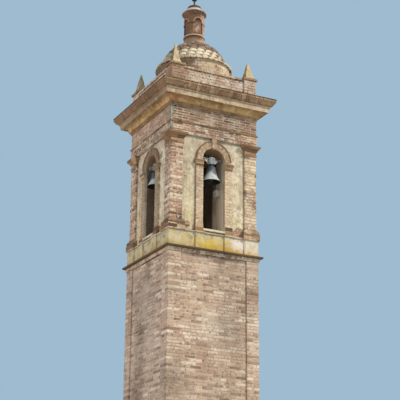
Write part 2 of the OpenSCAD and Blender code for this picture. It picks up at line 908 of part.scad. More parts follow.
module bell_motor() {
    box_x = 104;
    box_y = 130;
    box_z = 140;
    motor_drop = 695;
    motor_inset = 218;
    plate_t = 12;
    plate_margin = 16;
    foot_z = axle_z - motor_drop - box_z;
    plate_x = arch_r - plate_t;
    box_face = -(belfry_half - motor_inset);
    color(stone) translate([plate_x - box_x, box_face, foot_z]) cube([box_x, box_y, box_z]);
    color(iron) translate([plate_x, box_face - plate_margin, foot_z - plate_margin])
        cube([plate_t, box_y + 2 * plate_margin, box_z + 2 * plate_margin]);
}

plinth();
ground_floor();
front_shaft_wall();
back_shaft_wall();
left_shaft_wall();
right_shaft_wall();
corner_strips();
string_course();
pedestal_course();
pedestals();
pedestal_caps();
belfry_floor();
corner_pilasters();
pilaster_bases();
pilaster_capitals();
front_belfry_wall();
back_belfry_wall();
left_belfry_wall();
right_belfry_wall();
jamb_pilasters();
imposts();
archivolts();
sills();
architrave();
frieze();
cornice();
cornice_coping();
corner_iron();
parapets();
attic_pedestals();
attic_copings();
pinnacles();
drum();
dome();
dome_eave();
lantern_foot();
lantern();
lantern_cornice();
lantern_cap();
finial();
front_bell();
front_headstock();
front_clapper();
left_bell();
left_headstock();
left_clapper();
bell_bearings();
bell_motor();
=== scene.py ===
"""Dress of the bell tower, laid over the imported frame.

Metres; the front faces -Y and the ground is at z = 0. Bricks, tiles and mouldings are laid unit by
unit over the CAD solids, which stay underneath as mortar, plaster and stone.
"""

from __future__ import annotations

import json
import logging
import math
import random
from dataclasses import dataclass, field, replace
from enum import Enum
from typing import Callable, Sequence

import bmesh
import bpy
from mathutils import Matrix, Vector, noise

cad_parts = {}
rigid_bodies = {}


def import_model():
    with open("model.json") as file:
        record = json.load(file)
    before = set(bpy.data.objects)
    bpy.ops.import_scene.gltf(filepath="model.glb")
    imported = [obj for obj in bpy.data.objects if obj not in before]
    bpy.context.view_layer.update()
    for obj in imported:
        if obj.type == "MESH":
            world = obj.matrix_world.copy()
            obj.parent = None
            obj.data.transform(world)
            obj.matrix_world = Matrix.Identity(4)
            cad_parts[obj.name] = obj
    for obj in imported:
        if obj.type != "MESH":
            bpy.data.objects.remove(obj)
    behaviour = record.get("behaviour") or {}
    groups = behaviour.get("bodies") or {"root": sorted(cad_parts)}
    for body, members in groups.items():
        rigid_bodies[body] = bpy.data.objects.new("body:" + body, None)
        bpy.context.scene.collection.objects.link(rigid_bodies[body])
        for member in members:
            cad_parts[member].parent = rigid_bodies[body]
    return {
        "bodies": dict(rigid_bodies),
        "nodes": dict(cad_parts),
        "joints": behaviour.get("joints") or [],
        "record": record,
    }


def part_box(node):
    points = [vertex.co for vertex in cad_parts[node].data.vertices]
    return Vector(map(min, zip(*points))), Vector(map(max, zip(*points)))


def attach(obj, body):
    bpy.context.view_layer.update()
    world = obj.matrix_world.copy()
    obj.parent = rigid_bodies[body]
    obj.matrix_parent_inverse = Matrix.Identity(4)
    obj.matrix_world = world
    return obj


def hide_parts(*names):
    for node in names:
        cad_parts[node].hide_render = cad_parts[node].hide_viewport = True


LOG = logging.getLogger("bell_tower")
# A point seen from above, and one in space.
Plan = tuple[float, float]
Point = tuple[float, float, float]
# Distances out and heights of a moulding's points.
Section = list[tuple[float, float]]
# Number, middle and height of a course of bricks.
Course = tuple[int, float, float]
Tree = bpy.types.NodeTree
Socket = bpy.types.NodeSocket
Mesh = bpy.types.Mesh
Piece = bpy.types.Object

# The node types that are used most.
MATH = "ShaderNodeMath"
VECTOR_MATH = "ShaderNodeVectorMath"
MAP_RANGE = "ShaderNodeMapRange"
NOISE_TEXTURE = "ShaderNodeTexNoise"
# Scale of a noise texture whose patches are a metre wide.
NOISE_RATE = 0.55
# Seed of the wear on the arrises: without it, mathutils draws another one in each run.
NOISE_SEED = 17
# Seed of the wear that the laying tree adds.
LAYING_SEED = 7.0
# Width of a worn place on bricks and stones.
WEAR_WIDTH = 0.05
# The corners of a unit square, in order round it.
SQUARE = ((0, 0), (1, 0), (1, 1), (0, 1))
# Directions that surfaces with a stain, painted light or painted shade turn to.
UP = (0, 0, 1)
DOWN = (0, 0, -1)
WEST = (-1, 0, 0)
SUNWARD = (0.9, -0.42, 0)


def linear(code: str) -> tuple[float, float, float, float]:
    """Turn an sRGB hex colour into the linear colour that a shader takes.

    Args:
        code: the colour as "#rrggbb".

    Returns:
        Linear red, green, blue and an alpha of one.
    """
    shares = [int(code[i : i + 2], 16) / 255 for i in (1, 3, 5)]
    parts = [s / 12.92 if s <= 0.04045 else ((s + 0.055) / 1.055) ** 2.4 for s in shares]
    return parts[0], parts[1], parts[2], 1.0


def add(
    tree: Tree, kind: str, inputs: dict | None = None, out: int | str = 0, **settings: object
) -> Socket:
    """Add a node, set its options and fill its sockets.

    Args:
        tree: the tree that takes the node.
        kind: the node's type name.
        inputs: a value or a source socket for each input, by name or number.
        out: the wanted output, by name or number.
        **settings: the node's own options.

    Returns:
        That output, or the first input of a node that ends its tree.
    """
    node = tree.nodes.new(kind)
    for name, value in settings.items():
        setattr(node, name, value)
    for key, value in (inputs or {}).items():
        if isinstance(value, Socket):
            tree.links.new(value, node.inputs[key])
        else:
            node.inputs[key].default_value = value
    return node.outputs[out] if node.outputs else node.inputs[0]


def polar(out: float, angle: float, z: float) -> Point:
    """Place a point by its distance from the tower's axis, its bearing from +X and its height."""
    return out * math.cos(angle), out * math.sin(angle), z


def link(name: str, data: bpy.types.ID) -> Piece:
    """Put data in a new object and the object in the scene."""
    item = bpy.data.objects.new(name, data)
    bpy.context.scene.collection.objects.link(item)
    return item


def outward(shape: bmesh.types.BMesh, mesh: Mesh) -> Mesh:
    """Turn a shape's faces outward, write them to a mesh and free the shape."""
    bmesh.ops.recalc_face_normals(shape, faces=shape.faces)
    shape.to_mesh(mesh)
    shape.free()
    return mesh


@dataclass(kw_only=True)
class Draws:
    """Random draws that are the same in each run.

    Attributes:
        seed: where they start.
        spread: how far the tones part.
    """

    seed: int = 1
    spread: float = 1.0

    def __post_init__(self) -> None:
        """Start the draws."""
        self.rng = random.Random(self.seed)

    def tone(self) -> float:
        """Draw a unit's tone, from 0 to 1: mostly middling, a few burnt, a few pale."""
        draw = self.rng.random()
        if draw < 0.08:
            tone = self.rng.uniform(0.0, 0.15)
        elif draw > 0.92:
            tone = self.rng.uniform(0.85, 1.0)
        else:
            tone = min(0.9, max(0.1, self.rng.gauss(0.5, 0.17)))
        return 0.5 + (tone - 0.5) * self.spread


@dataclass(frozen=True)
class Stain:
    """A layer of colour over part of a surface, such as lime wash, soot, lichen, painted light and painted
    shade.

    Attributes:
        colour: its sRGB colour.
        size: width of a typical patch, in metres.
        cover: share of the surface under it. From one up, hardly anything stays bare.
        strength: how opaque its patches are.
        edge: softness of a patch's edge, in steps of the noise.
        tall: how many times taller than wide a patch is.
        seed: shifts its pattern.
        spot: the middle of the only place that has it, where there is one.
        reach: half width, half depth and half height of that place.
        facing: the direction that a surface with it turns to, where that counts.
        turned: cosine of the turn from that direction where it starts.
    """

    colour: str
    size: float
    cover: float
    strength: float
    edge: float = 0.06
    tall: float = 1.0
    seed: float = 0.0
    spot: Point | None = None
    reach: Point = (0.5, 0.5, 0.5)
    facing: Point | None = None
    turned: float = 0.35

    def lay(self, tree: Tree, place: Socket, under: Socket) -> Socket:
        """Lay the stain over a colour.

        Args:
            tree: the material's tree.
            place: the Object coordinates.
            under: the colour beneath.

        Returns:
            The stained colour.
        """
        rate = NOISE_RATE / self.size
        shift = (self.seed, self.seed * 0.7, self.seed * 0.3)
        scale = (rate, rate, rate / self.tall)
        shifted = add(tree, "ShaderNodeMapping", {"Vector": place, "Location": shift, "Scale": scale})
        pattern = {"Vector": shifted, "Scale": 1.0, "Detail": 5.0, "Roughness": 0.62}
        cloud = add(tree, NOISE_TEXTURE, pattern)
        level = 0.5 + 0.36 * (0.5 - self.cover)
        steps = {0: cloud, 1: level - self.edge, 2: level + self.edge, 4: self.strength}
        share = add(tree, MAP_RANGE, steps)
        limits = []
        if self.spot is not None:
            offset = add(tree, VECTOR_MATH, {0: place, 1: self.spot}, operation="SUBTRACT")
            scaled = add(tree, VECTOR_MATH, {0: offset, 1: self.reach}, operation="DIVIDE")
            far = add(tree, VECTOR_MATH, {0: scaled}, "Value", operation="LENGTH")
            limits.append({0: far, 1: 0.45, 2: 1.0, 3: 1.0, 4: 0.0})
        if self.facing is not None:
            normal = add(tree, "ShaderNodeTexCoord", out="Normal")
            lean = add(tree, VECTOR_MATH, {0: normal, 1: self.facing}, "Value", operation="DOT_PRODUCT")
            limits.append({0: lean, 1: self.turned, 2: self.turned + 0.35})
        for limit in limits:
            part = add(tree, MAP_RANGE, limit)
            share = add(tree, MATH, {0: share, 1: part}, operation="MULTIPLY")
        return add(tree, "ShaderNodeMix", {0: share, 6: under, 7: linear(self.colour)}, 2, data_type="RGBA")


class Shading(Enum):
    """What picks a surface's colour among its shades."""

    TONE = "the unit's own tone"
    CLOUD = "slow clouds over the surface"
    HEIGHT = "height up the wall, with clouds"


@dataclass(frozen=True)
class Finish:
    """A surface's material: what it is made of, how it has weathered, and any painted light or shade.

    Attributes:
        name: what the real surface is.
        shades: sRGB colours from darkest to lightest, or from foot to head.
        shading: what picks the shade.
        cloud: width of the slow clouds, in metres.
        span: lowest and highest z of a shading by height.
        stains: the layers over it, lowest first.
        grain: width of the fine grain, in metres, and its relief.
        lumps: width of the slow lumps, in metres, and their relief.
        pits: spacing of small pits, in metres, and their depth.
        roughness: lowest and highest roughness.
        metallic: one on bare metal, less under a patina.
    """

    name: str
    shades: tuple[str, ...]
    shading: Shading = Shading.TONE
    cloud: float = 0.4
    span: tuple[float, float] = (0.0, 1.0)
    stains: tuple[Stain, ...] = ()
    grain: tuple[float, float] = (0.01, 0.002)
    lumps: tuple[float, float] = (0.05, 0.004)
    pits: tuple[float, float] = (0.03, 0.0)
    roughness: tuple[float, float] = (0.82, 0.96)
    metallic: float = 0.0

    def shade(self, tree: Tree, place: Socket) -> Socket:
        """Pick the colour before any stain.

        Args:
            tree: the material's tree.
            place: the Object coordinates.

        Returns:
            The colour socket.
        """
        slow = add(tree, NOISE_TEXTURE, {"Vector": place, "Scale": NOISE_RATE / self.cloud, "Detail": 4.0})
        if self.shading is Shading.CLOUD:
            pick = add(tree, MAP_RANGE, {0: slow, 1: 0.32, 2: 0.68})
        else:
            if self.shading is Shading.TONE:
                base, swing = add(tree, "ShaderNodeAttribute", out="Fac", attribute_name="tone"), 0.12
            else:
                height = add(tree, "ShaderNodeSeparateXYZ", {0: place}, "Z")
                base, swing = add(tree, MAP_RANGE, {0: height, 1: self.span[0], 2: self.span[1]}), 0.3
            drift = add(tree, MAP_RANGE, {0: slow, 1: 0.3, 2: 0.7, 3: -swing, 4: swing})
            pick = add(tree, MATH, {0: base, 1: drift}, operation="ADD")
        colour = add(tree, "ShaderNodeValToRGB", {0: pick})
        stops = colour.node.color_ramp.elements
        while len(stops) < len(self.shades):
            stops.new(0.5)
        for i, code in enumerate(self.shades):
            stops[i].position = i / (len(self.shades) - 1)
            stops[i].color = linear(code)
        return colour

    def material(self) -> bpy.types.Material:
        """Return the material, building it on the first call.

        Returns:
            The material of this finish.
        """
        if self.name in bpy.data.materials:
            return bpy.data.materials[self.name]
        made = bpy.data.materials.new(self.name)
        made.use_nodes = True
        tree = made.node_tree
        tree.nodes.clear()
        place = add(tree, "ShaderNodeTexCoord", out="Object")
        colour = self.shade(tree, place)
        for stain in self.stains:
            colour = stain.lay(tree, place, colour)
        fine, slow = (
            add(tree, NOISE_TEXTURE, {"Vector": place, "Scale": NOISE_RATE / width, "Detail": detail})
            for width, detail in ((self.grain[0], 3.0), (self.lumps[0], 2.0))
        )
        value = add(tree, MAP_RANGE, {0: fine, 1: 0.25, 2: 0.75, 3: 0.86, 4: 1.1})
        colour = add(tree, "ShaderNodeHueSaturation", {"Value": value, "Color": colour})
        low, high = self.roughness
        rough = add(tree, MAP_RANGE, {0: slow, 1: 0.3, 2: 0.7, 3: low, 4: high})
        reliefs = [(self.lumps[1], slow), (self.grain[1], fine)]
        if self.pits[1]:
            pattern = {"Vector": place, "Scale": 1 / self.pits[0]}
            cells = add(tree, "ShaderNodeTexVoronoi", pattern, "Distance")
            reliefs.append((self.pits[1], add(tree, MAP_RANGE, {0: cells, 1: 0.1, 2: 0.3})))
        under = {}
        for depth, height in reliefs:
            relief = {"Strength": 1.0, "Distance": depth, "Height": height, **under}
            under = {"Normal": add(tree, "ShaderNodeBump", relief)}
        look = {"Base Color": colour, "Roughness": rough, "Metallic": self.metallic, **under}
        add(tree, "ShaderNodeOutputMaterial", {"Surface": add(tree, "ShaderNodeBsdfPrincipled", look)})
        return made


# Stains that several finishes share, each with its colour, size, cover and strength.
SOOT = Stain("#5d4c3e", 0.5, 0.3, 0.5, edge=0.12, tall=2.2, seed=3)
LIME_WASH = Stain("#d9cbbd", 0.5, 0.38, 0.5, edge=0.16, tall=1.4, seed=8)
LIME_PATCH = Stain("#dcd6c8", 0.12, 0.1, 0.7, edge=0.03, seed=5)
CRUST = Stain("#4d4a40", 0.12, 0.75, 0.85, edge=0.1, facing=UP, turned=0.45)
LIME_FLECK = Stain("#e2d6c4", 0.04, 0.32, 0.72, edge=0.07, seed=21)
DARK_FLECK = Stain("#574234", 0.035, 0.25, 0.7, seed=22)
# Dark crust and painted shade on the faces turned west.
WEST_CRUST_AND_SHADE = Stain("#45413a", 0.2, 0.8, 0.85, edge=0.12, seed=3, facing=(-1, 0.2, 0), turned=0.3)
SUN_BLEACH = Stain(
    "#e8d2ae", 0.1, 0.45, 0.75, edge=0.07, seed=24, spot=(1.0, -1.1, 10.1), reach=(0.4, 0.5, 1.7)
)
DARK_HOLE = Stain("#47352a", 0.045, 0.13, 0.9, edge=0.03, seed=26)
# Painted shade: a darker, browner colour on the faces turned west.
WEST_SHADE = Stain("#74543a", 0.3, 1.0, 0.6, edge=0.14, seed=25, facing=WEST)

# Hand-moulded fired brick, soft and uneven: no two alike, from burnt brown to pinkish tan.
BRICK = Finish(
    "hand_moulded_brick",
    ("#6e4c3a", "#976e58", "#b58c73", "#caa68c", "#e2ccb2"),
    stains=(SOOT, LIME_FLECK, DARK_FLECK, LIME_PATCH, SUN_BLEACH, CRUST),
    pits=(0.045, 0.002),
)
# The frieze's darker, redder brick, with lilac-white and grey-cream rests of limewash.
FRIEZE_BRICK = replace(
    BRICK,
    name="dark_frieze_brick",
    shades=("#523a30", "#745646", "#8c6a57", "#a1806b", "#bea491"),
    stains=(
        Stain("#b8a896", 0.14, 0.3, 0.5, edge=0.08, seed=41),
        Stain("#d6cac6", 0.07, 0.2, 0.75, edge=0.04, seed=42),
        # Painted light: a paler, warmer colour on the faces turned west.
        Stain("#d0a98a", 0.3, 1.0, 0.4, edge=0.14, seed=25, facing=WEST),
        DARK_FLECK,
        CRUST,
    ),
)
# The shaft's brick under a thin, worn coat of lime wash: paler and lower in contrast.
WASHED_BRICK = Finish(
    "lime_washed_brick",
    ("#7c5d4d", "#a3836e", "#bfa089", "#d1b6a0", "#e2cebb"),
    stains=(LIME_WASH, LIME_PATCH, SOOT, DARK_FLECK, CRUST),
)
# Pale, yellowish brick rubbed for mouldings, browner than the lime round it.
RUBBED_BRICK = Finish(
    "rubbed_pale_brick",
    ("#86684f", "#aa886b", "#c4a286", "#d3b898", "#e2d0b4"),
    stains=(SOOT, LIME_FLECK, DARK_FLECK, CRUST),
    grain=(0.01, 0.0018),
    lumps=(0.06, 0.003),
    pits=(0.05, 0.0015),
)
# Evenly pale rubbed brick of the jambs and the fascia, with painted shade on the faces turned west.
JAMB_BRICK = replace(
    RUBBED_BRICK,
    name="smooth_pale_brick",
    shades=("#937659", "#b69a7a", "#cdb496", "#dac5a8", "#e6d5ba"),
    stains=(
        SOOT,
        Stain("#a9765a", 0.05, 0.3, 0.5, edge=0.08, seed=43),
        Stain("#e6dcc8", 0.04, 0.3, 0.55, seed=44),
        WEST_SHADE,
        CRUST,
    ),
)
# The arches' brick, a little darker than the jambs.
ARCH_BRICK = replace(
    JAMB_BRICK,
    name="rain_darkened_arch_brick",
    shades=("#806449", "#a08465", "#b89e7f", "#c6ae90", "#d6c2a4"),
)
# Moulded brick of the bases, cornice and copings, brown where water runs, painted shade on the west.
BROWN_BRICK = replace(
    RUBBED_BRICK,
    name="blotched_brown_brick",
    shades=("#563f2e", "#7d6047", "#9f7f60", "#b99a7b", "#d8c0a2"),
    stains=(SOOT, DARK_FLECK, DARK_HOLE, WEST_SHADE, CRUST),
)
# The lantern's brick, evenly brown, with one patch of plaster and a pale ring at its foot.
LANTERN_BRICK = replace(
    RUBBED_BRICK,
    name="brown_lantern_brick",
    shades=("#64483a", "#85634b", "#9c775a", "#b28d6c"),
    stains=(
        SOOT,
        WEST_SHADE,
        # Painted light: a paler colour on the faces turned to the sun.
        Stain("#dcb8a0", 0.3, 1.8, 0.55, facing=SUNWARD, turned=0.55),
        Stain("#a88b74", 0.1, 0.8, 0.65, edge=0.12, spot=(0, 0, 14.08), reach=(1.2, 1.2, 0.12)),
        Stain("#c9a98a", 0.05, 0.7, 0.85, edge=0.1, spot=(-0.045, -0.235, 14.47), reach=(0.11, 0.12, 0.17)),
        Stain("#4a3628", 0.3, 1.6, 0.8, spot=(0, 0, 14.222), reach=(1.2, 1.2, 0.02)),
        Stain("#cbb190", 0.3, 1.6, 0.8, spot=(0, 0, 14.262), reach=(1.2, 1.2, 0.025)),
        Stain("#c8ae90", 0.2, 1.2, 0.7, spot=(0.16, -0.25, 14.09), reach=(0.24, 0.2, 0.06)),
    ),
)
# The niches' arches, as brown as the lantern but for painted light on their sunny side.
NICHE_BRICK = replace(
    LANTERN_BRICK,
    name="plastered_niche_arch",
    stains=(
        Stain("#e0bfa6", 0.3, 1.8, 0.8, facing=SUNWARD, turned=0.5),
        # Painted light on the right half of the front niche's arch.
        Stain("#d8b59c", 0.3, 1.6, 0.6, edge=0.1, spot=(0.14, -0.26, 14.66), reach=(0.09, 0.12, 0.13)),
    ),
)
# Limed brick of the attic, pale and pinkish where the wash still holds.
LIMED_BRICK = Finish(
    "limed_pinkish_brick",
    ("#92705a", "#ae8970", "#c2a085", "#d2b49a", "#dcc7ad"),
    stains=(
        Stain("#e2d3c2", 0.16, 0.62, 0.75, edge=0.12, seed=31),
        Stain("#8d7060", 0.07, 0.2, 0.6, seed=32),
        Stain("#8f6548", 0.3, 1.2, 0.7, spot=(-1.05, -1.05, 12.6), reach=(0.5, 0.5, 0.6)),
        DARK_FLECK,
        DARK_HOLE,
        CRUST,
    ),
)
# Small drum brick with rests of plaster, painted shade on its west side and painted light on its sunny
# side.
DRUM_BRICK = Finish(
    "plaster_stained_drum_brick",
    ("#7a5d48", "#987a5f", "#ae9072", "#c2a888"),
    stains=(
        # Painted shade: dull grey-brown on the faces turned west.
        Stain("#655a49", 0.3, 0.8, 0.85, edge=0.15, seed=33, facing=(-1, 0.15, 0)),
        # Painted light: cream on the faces turned to the sun.
        Stain("#dfc9aa", 0.22, 0.85, 0.85, edge=0.12, seed=34, facing=(0.8, -0.6, 0), turned=0.15),
        Stain("#e2dacb", 0.1, 0.26, 0.85, edge=0.04, seed=35, facing=(0.6, -0.8, 0), turned=0.2),
        Stain("#5a473d", 0.08, 0.2, 0.6, seed=36),
    ),
)
# Dark brown brick of the capitals, the imposts and the thin bands, weathered where rain drips.
DRIP_BRICK = Finish(
    "weathered_brown_brick",
    ("#5b4030", "#7b5a41", "#94704f", "#ab8864", "#c8ab86"),
    stains=(SOOT, CRUST),
)
# Lime mortar, pale and sandy, flush in the joints.
MORTAR = Finish(
    "sandy_lime_mortar",
    ("#a3917a", "#c5b49a", "#d9ccb4"),
    shading=Shading.CLOUD,
    cloud=0.25,
    stains=(SOOT,),
    grain=(0.008, 0.002),
    lumps=(0.04, 0.004),
)
# Cream lime stucco trowelled thin, yellow near its foot and grey-beige towards its head.
STUCCO = Finish(
    "cream_lime_stucco",
    ("#d8c79f", "#d7c9a8", "#d0c2a8", "#cbbfa9"),
    shading=Shading.HEIGHT,
    cloud=0.6,
    span=(9.0, 11.2),
    stains=(
        Stain("#97866c", 0.09, 0.42, 0.72, edge=0.1, tall=6.0, seed=2),
        Stain("#e8dec6", 0.22, 0.4, 0.7, edge=0.1, seed=6),
        Stain("#a3937a", 0.06, 0.38, 0.65, edge=0.08, seed=8),
        Stain("#857460", 0.06, 0.2, 0.6, edge=0.04, seed=9),
    ),
    grain=(0.012, 0.0012),
    lumps=(0.14, 0.006),
    roughness=(0.8, 0.92),
)
# Lime plaster of the reveals and the bell chamber, taupe with dust, with painted light and shade.
CHAMBER = Finish(
    "smoked_lime_plaster",
    ("#96826c", "#ad9982", "#bfac95"),
    shading=Shading.CLOUD,
    cloud=0.35,
    stains=(
        Stain("#5a4a3a", 0.2, 0.4, 0.5, edge=0.12, seed=4),
        # Painted shade on the left arch's reveals.
        Stain("#4a392b", 1.0, 1.6, 0.75, spot=(-0.9, 0.3, 9.9), reach=(0.5, 0.3, 2.2)),
        Stain("#8f6d48", 1.0, 1.6, 0.8, edge=0.1, facing=DOWN, turned=0.0),
        # Painted shade deep inside the chamber.
        Stain("#2e231c", 1.0, 2.2, 0.9, edge=0.1, spot=(0.2, 0.25, 10.4), reach=(0.98, 0.98, 3.4)),
        # Painted light on the front arch's right reveal.
        Stain("#ecdcc6", 1.0, 1.6, 0.65, edge=0.1, spot=(0.38, -0.9, 9.6), reach=(0.3, 0.45, 1.4)),
    ),
    grain=(0.014, 0.002),
    lumps=(0.1, 0.006),
)
# Old lime stucco of the pedestal course, mottled dark and overgrown with yellow lichen.
LICHEN_STUCCO = Finish(
    "lichened_lime_stucco",
    ("#b29a68", "#c6b489", "#c9bd9c", "#b5a98c"),
    shading=Shading.HEIGHT,
    cloud=0.3,
    span=(8.57, 8.94),
    stains=(
        Stain("#7d6c52", 0.07, 0.26, 0.65, seed=1),
        Stain("#e2d8cc", 0.12, 0.14, 0.8, edge=0.05, seed=7),
        Stain("#c4a63c", 0.08, 0.4, 0.9, seed=12, spot=(0.1, -1.1, 8.66), reach=(0.75, 0.4, 0.24)),
        Stain(
            "#d2b440", 0.05, 0.6, 0.9, edge=0.05, seed=13, spot=(-0.1, -1.1, 8.68), reach=(0.3, 0.4, 0.18)
        ),
        Stain("#bfa447", 0.06, 0.25, 0.8, edge=0.04, seed=14),
        Stain("#e6dcd4", 0.06, 0.8, 0.85, spot=(0.6, -1.1, 8.79), reach=(0.24, 0.3, 0.2)),
        Stain("#e0d3c4", 0.12, 0.9, 0.75, edge=0.1, spot=(0.95, -1.1, 8.78), reach=(0.42, 0.4, 0.34)),
        Stain("#c79f38", 0.05, 0.55, 0.85, spot=(0.3, -1.1, 8.6), reach=(1.3, 0.4, 0.12)),
    ),
    grain=(0.012, 0.003),
    lumps=(0.07, 0.008),
)
# Ochre render of the cornice cove, the strongest colour on the tower.
OCHRE_RENDER = Finish(
    "ochre_lime_render",
    ("#a88254", "#c29b69", "#d2af7e"),
    shading=Shading.CLOUD,
    cloud=0.3,
    stains=(
        # A dark band on the render behind the cyma, darkening the cove's top edge as painted shade.
        Stain("#57432f", 0.3, 2.0, 0.9, spot=(0, 0, 12.23), reach=(6.0, 6.0, 0.22)),
        Stain("#7d5832", 0.12, 0.35, 0.65, edge=0.08, seed=2),
        Stain("#dcc296", 0.06, 0.26, 0.6, edge=0.08, seed=5),
        Stain(
            "#a4593c", 0.2, 0.6, 0.6, edge=0.1, seed=6, spot=(-1.3, -1.0, 12.05), reach=(0.5, 0.5, 0.3)
        ),
    ),
    grain=(0.01, 0.0015),
    lumps=(0.08, 0.003),
)
# Soft ochre sandstone of the pinnacles, dark with crust and painted shade on the faces away from the sun.
OCHRE_STONE = Finish(
    "ochre_sandstone",
    ("#a8966f", "#c2b08b", "#d3c6a8"),
    shading=Shading.CLOUD,
    cloud=0.12,
    stains=(
        # Crust and painted shade on the faces turned west.
        Stain("#5f5238", 0.08, 0.8, 0.85, edge=0.14, seed=3, facing=(-0.95, 0.3, 0)),
        Stain("#c08f62", 0.07, 0.22, 0.6, edge=0.07, seed=6),
        Stain("#6b5c3c", 0.05, 0.2, 0.6, seed=4),
    ),
    lumps=(0.05, 0.005),
)
# Pale limestone slabs, worn round and grey with age.
PALE_STONE = Finish(
    "pale_limestone",
    ("#bdb093", "#d3c8ac", "#e0d7c0"),
    shading=Shading.CLOUD,
    cloud=0.15,
    stains=(Stain("#8a7a60", 0.08, 0.25, 0.5, edge=0.08, seed=2),),
    grain=(0.01, 0.0015),
    lumps=(0.06, 0.003),
)
# Fired clay roof tiles, pale at the eave, dark on the shaded side with lichen and painted shade.
ROOF_TILE = Finish(
    "weathered_clay_tile",
    ("#7a5440", "#a2775a", "#bf9a78", "#d3b896", "#e0cfb0"),
    stains=(
        # Lichen and painted shade on the faces turned west.
        Stain("#4e4a38", 0.25, 0.62, 0.75, edge=0.14, seed=3, facing=(-0.9, 0.4, 0.1), turned=0.1),
        Stain("#5c5340", 0.06, 0.3, 0.6, seed=5),
        Stain("#e2dcc8", 0.08, 0.16, 0.6, edge=0.04, seed=6),
    ),
    grain=(0.01, 0.0015),
    lumps=(0.05, 0.003),
)
# Dome tiles, brown-black with old crust between white lumps of bedding mortar.
DOME_TILE = Finish(
    "crusted_dome_tile",
    # The palest shades are painted light on the low courses; the bare dome's darkest is painted shade.
    ("#40342a", "#5e4a3a", "#7d624b", "#a98f70", "#dccaa9", "#eadfc8"),
    stains=(
        # Painted shade with lichen on the faces turned west.
        Stain("#4a4836", 0.25, 0.6, 0.7, edge=0.14, seed=3, facing=(-0.9, 0.4, 0.1), turned=0.1),
        Stain("#74463a", 0.12, 1.1, 0.8, edge=0.1, seed=4, facing=SUNWARD),
        Stain("#a99980", 0.03, 0.26, 0.7, edge=0.05, seed=5),
        Stain("#ddd5c4", 0.045, 0.12, 0.85, edge=0.03, seed=6),
    ),
    grain=(0.01, 0.0015),
    lumps=(0.05, 0.003),
)
# Bedding mortar at the butts of the tiles, white, with painted shade on the faces turned west.
BEDDING = Finish(
    "white_bedding_mortar",
    ("#b0a084", "#d8ccb2", "#e8e0cc"),
    stains=(
        Stain("#6b6048", 0.2, 0.7, 0.8, edge=0.14, seed=3, facing=(-0.95, 0.3, 0.1), turned=0.2),
        Stain("#7b6a54", 0.04, 0.22, 0.6, seed=5),
    ),
    grain=(0.008, 0.002),
    lumps=(0.03, 0.004),
)
# Lantern crown: brown brick beds below, whitewashed stone above.
CROWN = Finish(
    "whitewashed_lantern_crown",
    ("#6e5240", "#84644c", "#dccab8", "#e6d4c2"),
    shading=Shading.HEIGHT,
    cloud=0.15,
    span=(14.87, 14.985),
    stains=(
        Stain("#8d8274", 0.05, 0.2, 0.6, seed=5),
        Stain("#38291f", 0.3, 2.0, 1.0, spot=(0, 0, 15.08), reach=(1.0, 1.0, 0.058)),
    ),
    grain=(0.008, 0.0015),
    lumps=(0.04, 0.003),
)
# Coping tiles, dark brown with crust along the weather edge, and painted shade on the west side.
COPING_TILE = Finish(
    "crusted_coping_tile",
    ("#4a382a", "#5f4b3a", "#7a634d", "#967d62"),
    stains=(DARK_FLECK, WEST_CRUST_AND_SHADE, CRUST),
    grain=(0.01, 0.0015),
    lumps=(0.05, 0.003),
)
# Cast bell bronze with a dull sheen: pale at the lip as painted light, slate-dark at the shoulder.
BRONZE = Finish(
    "patinated_bell_bronze",
    ("#a9afae", "#c2c7c6", "#969ca2", "#545a68", "#424653", "#383b45"),
    shading=Shading.HEIGHT,
    cloud=0.1,
    span=(10.2, 10.68),
    stains=(
        Stain("#5f7f78", 0.05, 0.2, 0.4, tall=3.0, seed=2),
        # Painted shade: near black on the faces turned down, inside the bell.
        Stain("#0d0b0a", 1.0, 3.0, 1.0, edge=0.1, facing=DOWN, turned=0.0),
    ),
    grain=(0.004, 0.0003),
    lumps=(0.03, 0.0006),
    roughness=(0.55, 0.7),
    metallic=0.15,
)
# Steel plate under old grey-blue paint, chalky and chipped at the edges.
PAINTED_STEEL = Finish(
    "chalky_painted_steel",
    ("#66727c", "#7f8c95", "#97a2a8"),
    shading=Shading.CLOUD,
    cloud=0.08,
    stains=(Stain("#6e4f38", 0.03, 0.14, 0.8, edge=0.03, tall=2.0, seed=2),),
    grain=(0.004, 0.0004),
    lumps=(0.03, 0.0008),
    roughness=(0.45, 0.65),
)
# Wrought iron gone pale grey-green with oxide and wash from the lime above.
IRON = Finish(
    "limed_wrought_iron",
    ("#65665c", "#8c8e82", "#a3a497"),
    shading=Shading.CLOUD,
    cloud=0.06,
    stains=(Stain("#5b3c28", 0.04, 0.25, 0.8, edge=0.04, tall=3.0, seed=2),),
    grain=(0.004, 0.0006),
    lumps=(0.02, 0.001),
    roughness=(0.6, 0.8),
)
# Dark brown iron and lead of the cap and the finial, with olive weather stains.
DARK_METAL = Finish(
    "olive_dark_iron",
    ("#2a211a", "#3c3328", "#524836"),
    shading=Shading.CLOUD,
    cloud=0.06,
    stains=(Stain("#6d6a50", 0.03, 0.2, 0.6, edge=0.05, seed=2),),
    grain=(0.004, 0.0006),
    lumps=(0.02, 0.001),
    roughness=(0.5, 0.75),
)
# Cast aluminium casing under dusty taupe paint.
CASING = Finish(
    "dusty_painted_casing",
    ("#a89d90", "#c2b7a9", "#d2c8ba"),
    shading=Shading.CLOUD,
    cloud=0.08,
    stains=(Stain("#5e5248", 0.03, 0.2, 0.6, edge=0.05, tall=2.0, seed=2),),
    grain=(0.004, 0.0003),
    lumps=(0.03, 0.0006),
    roughness=(0.5, 0.7),
)


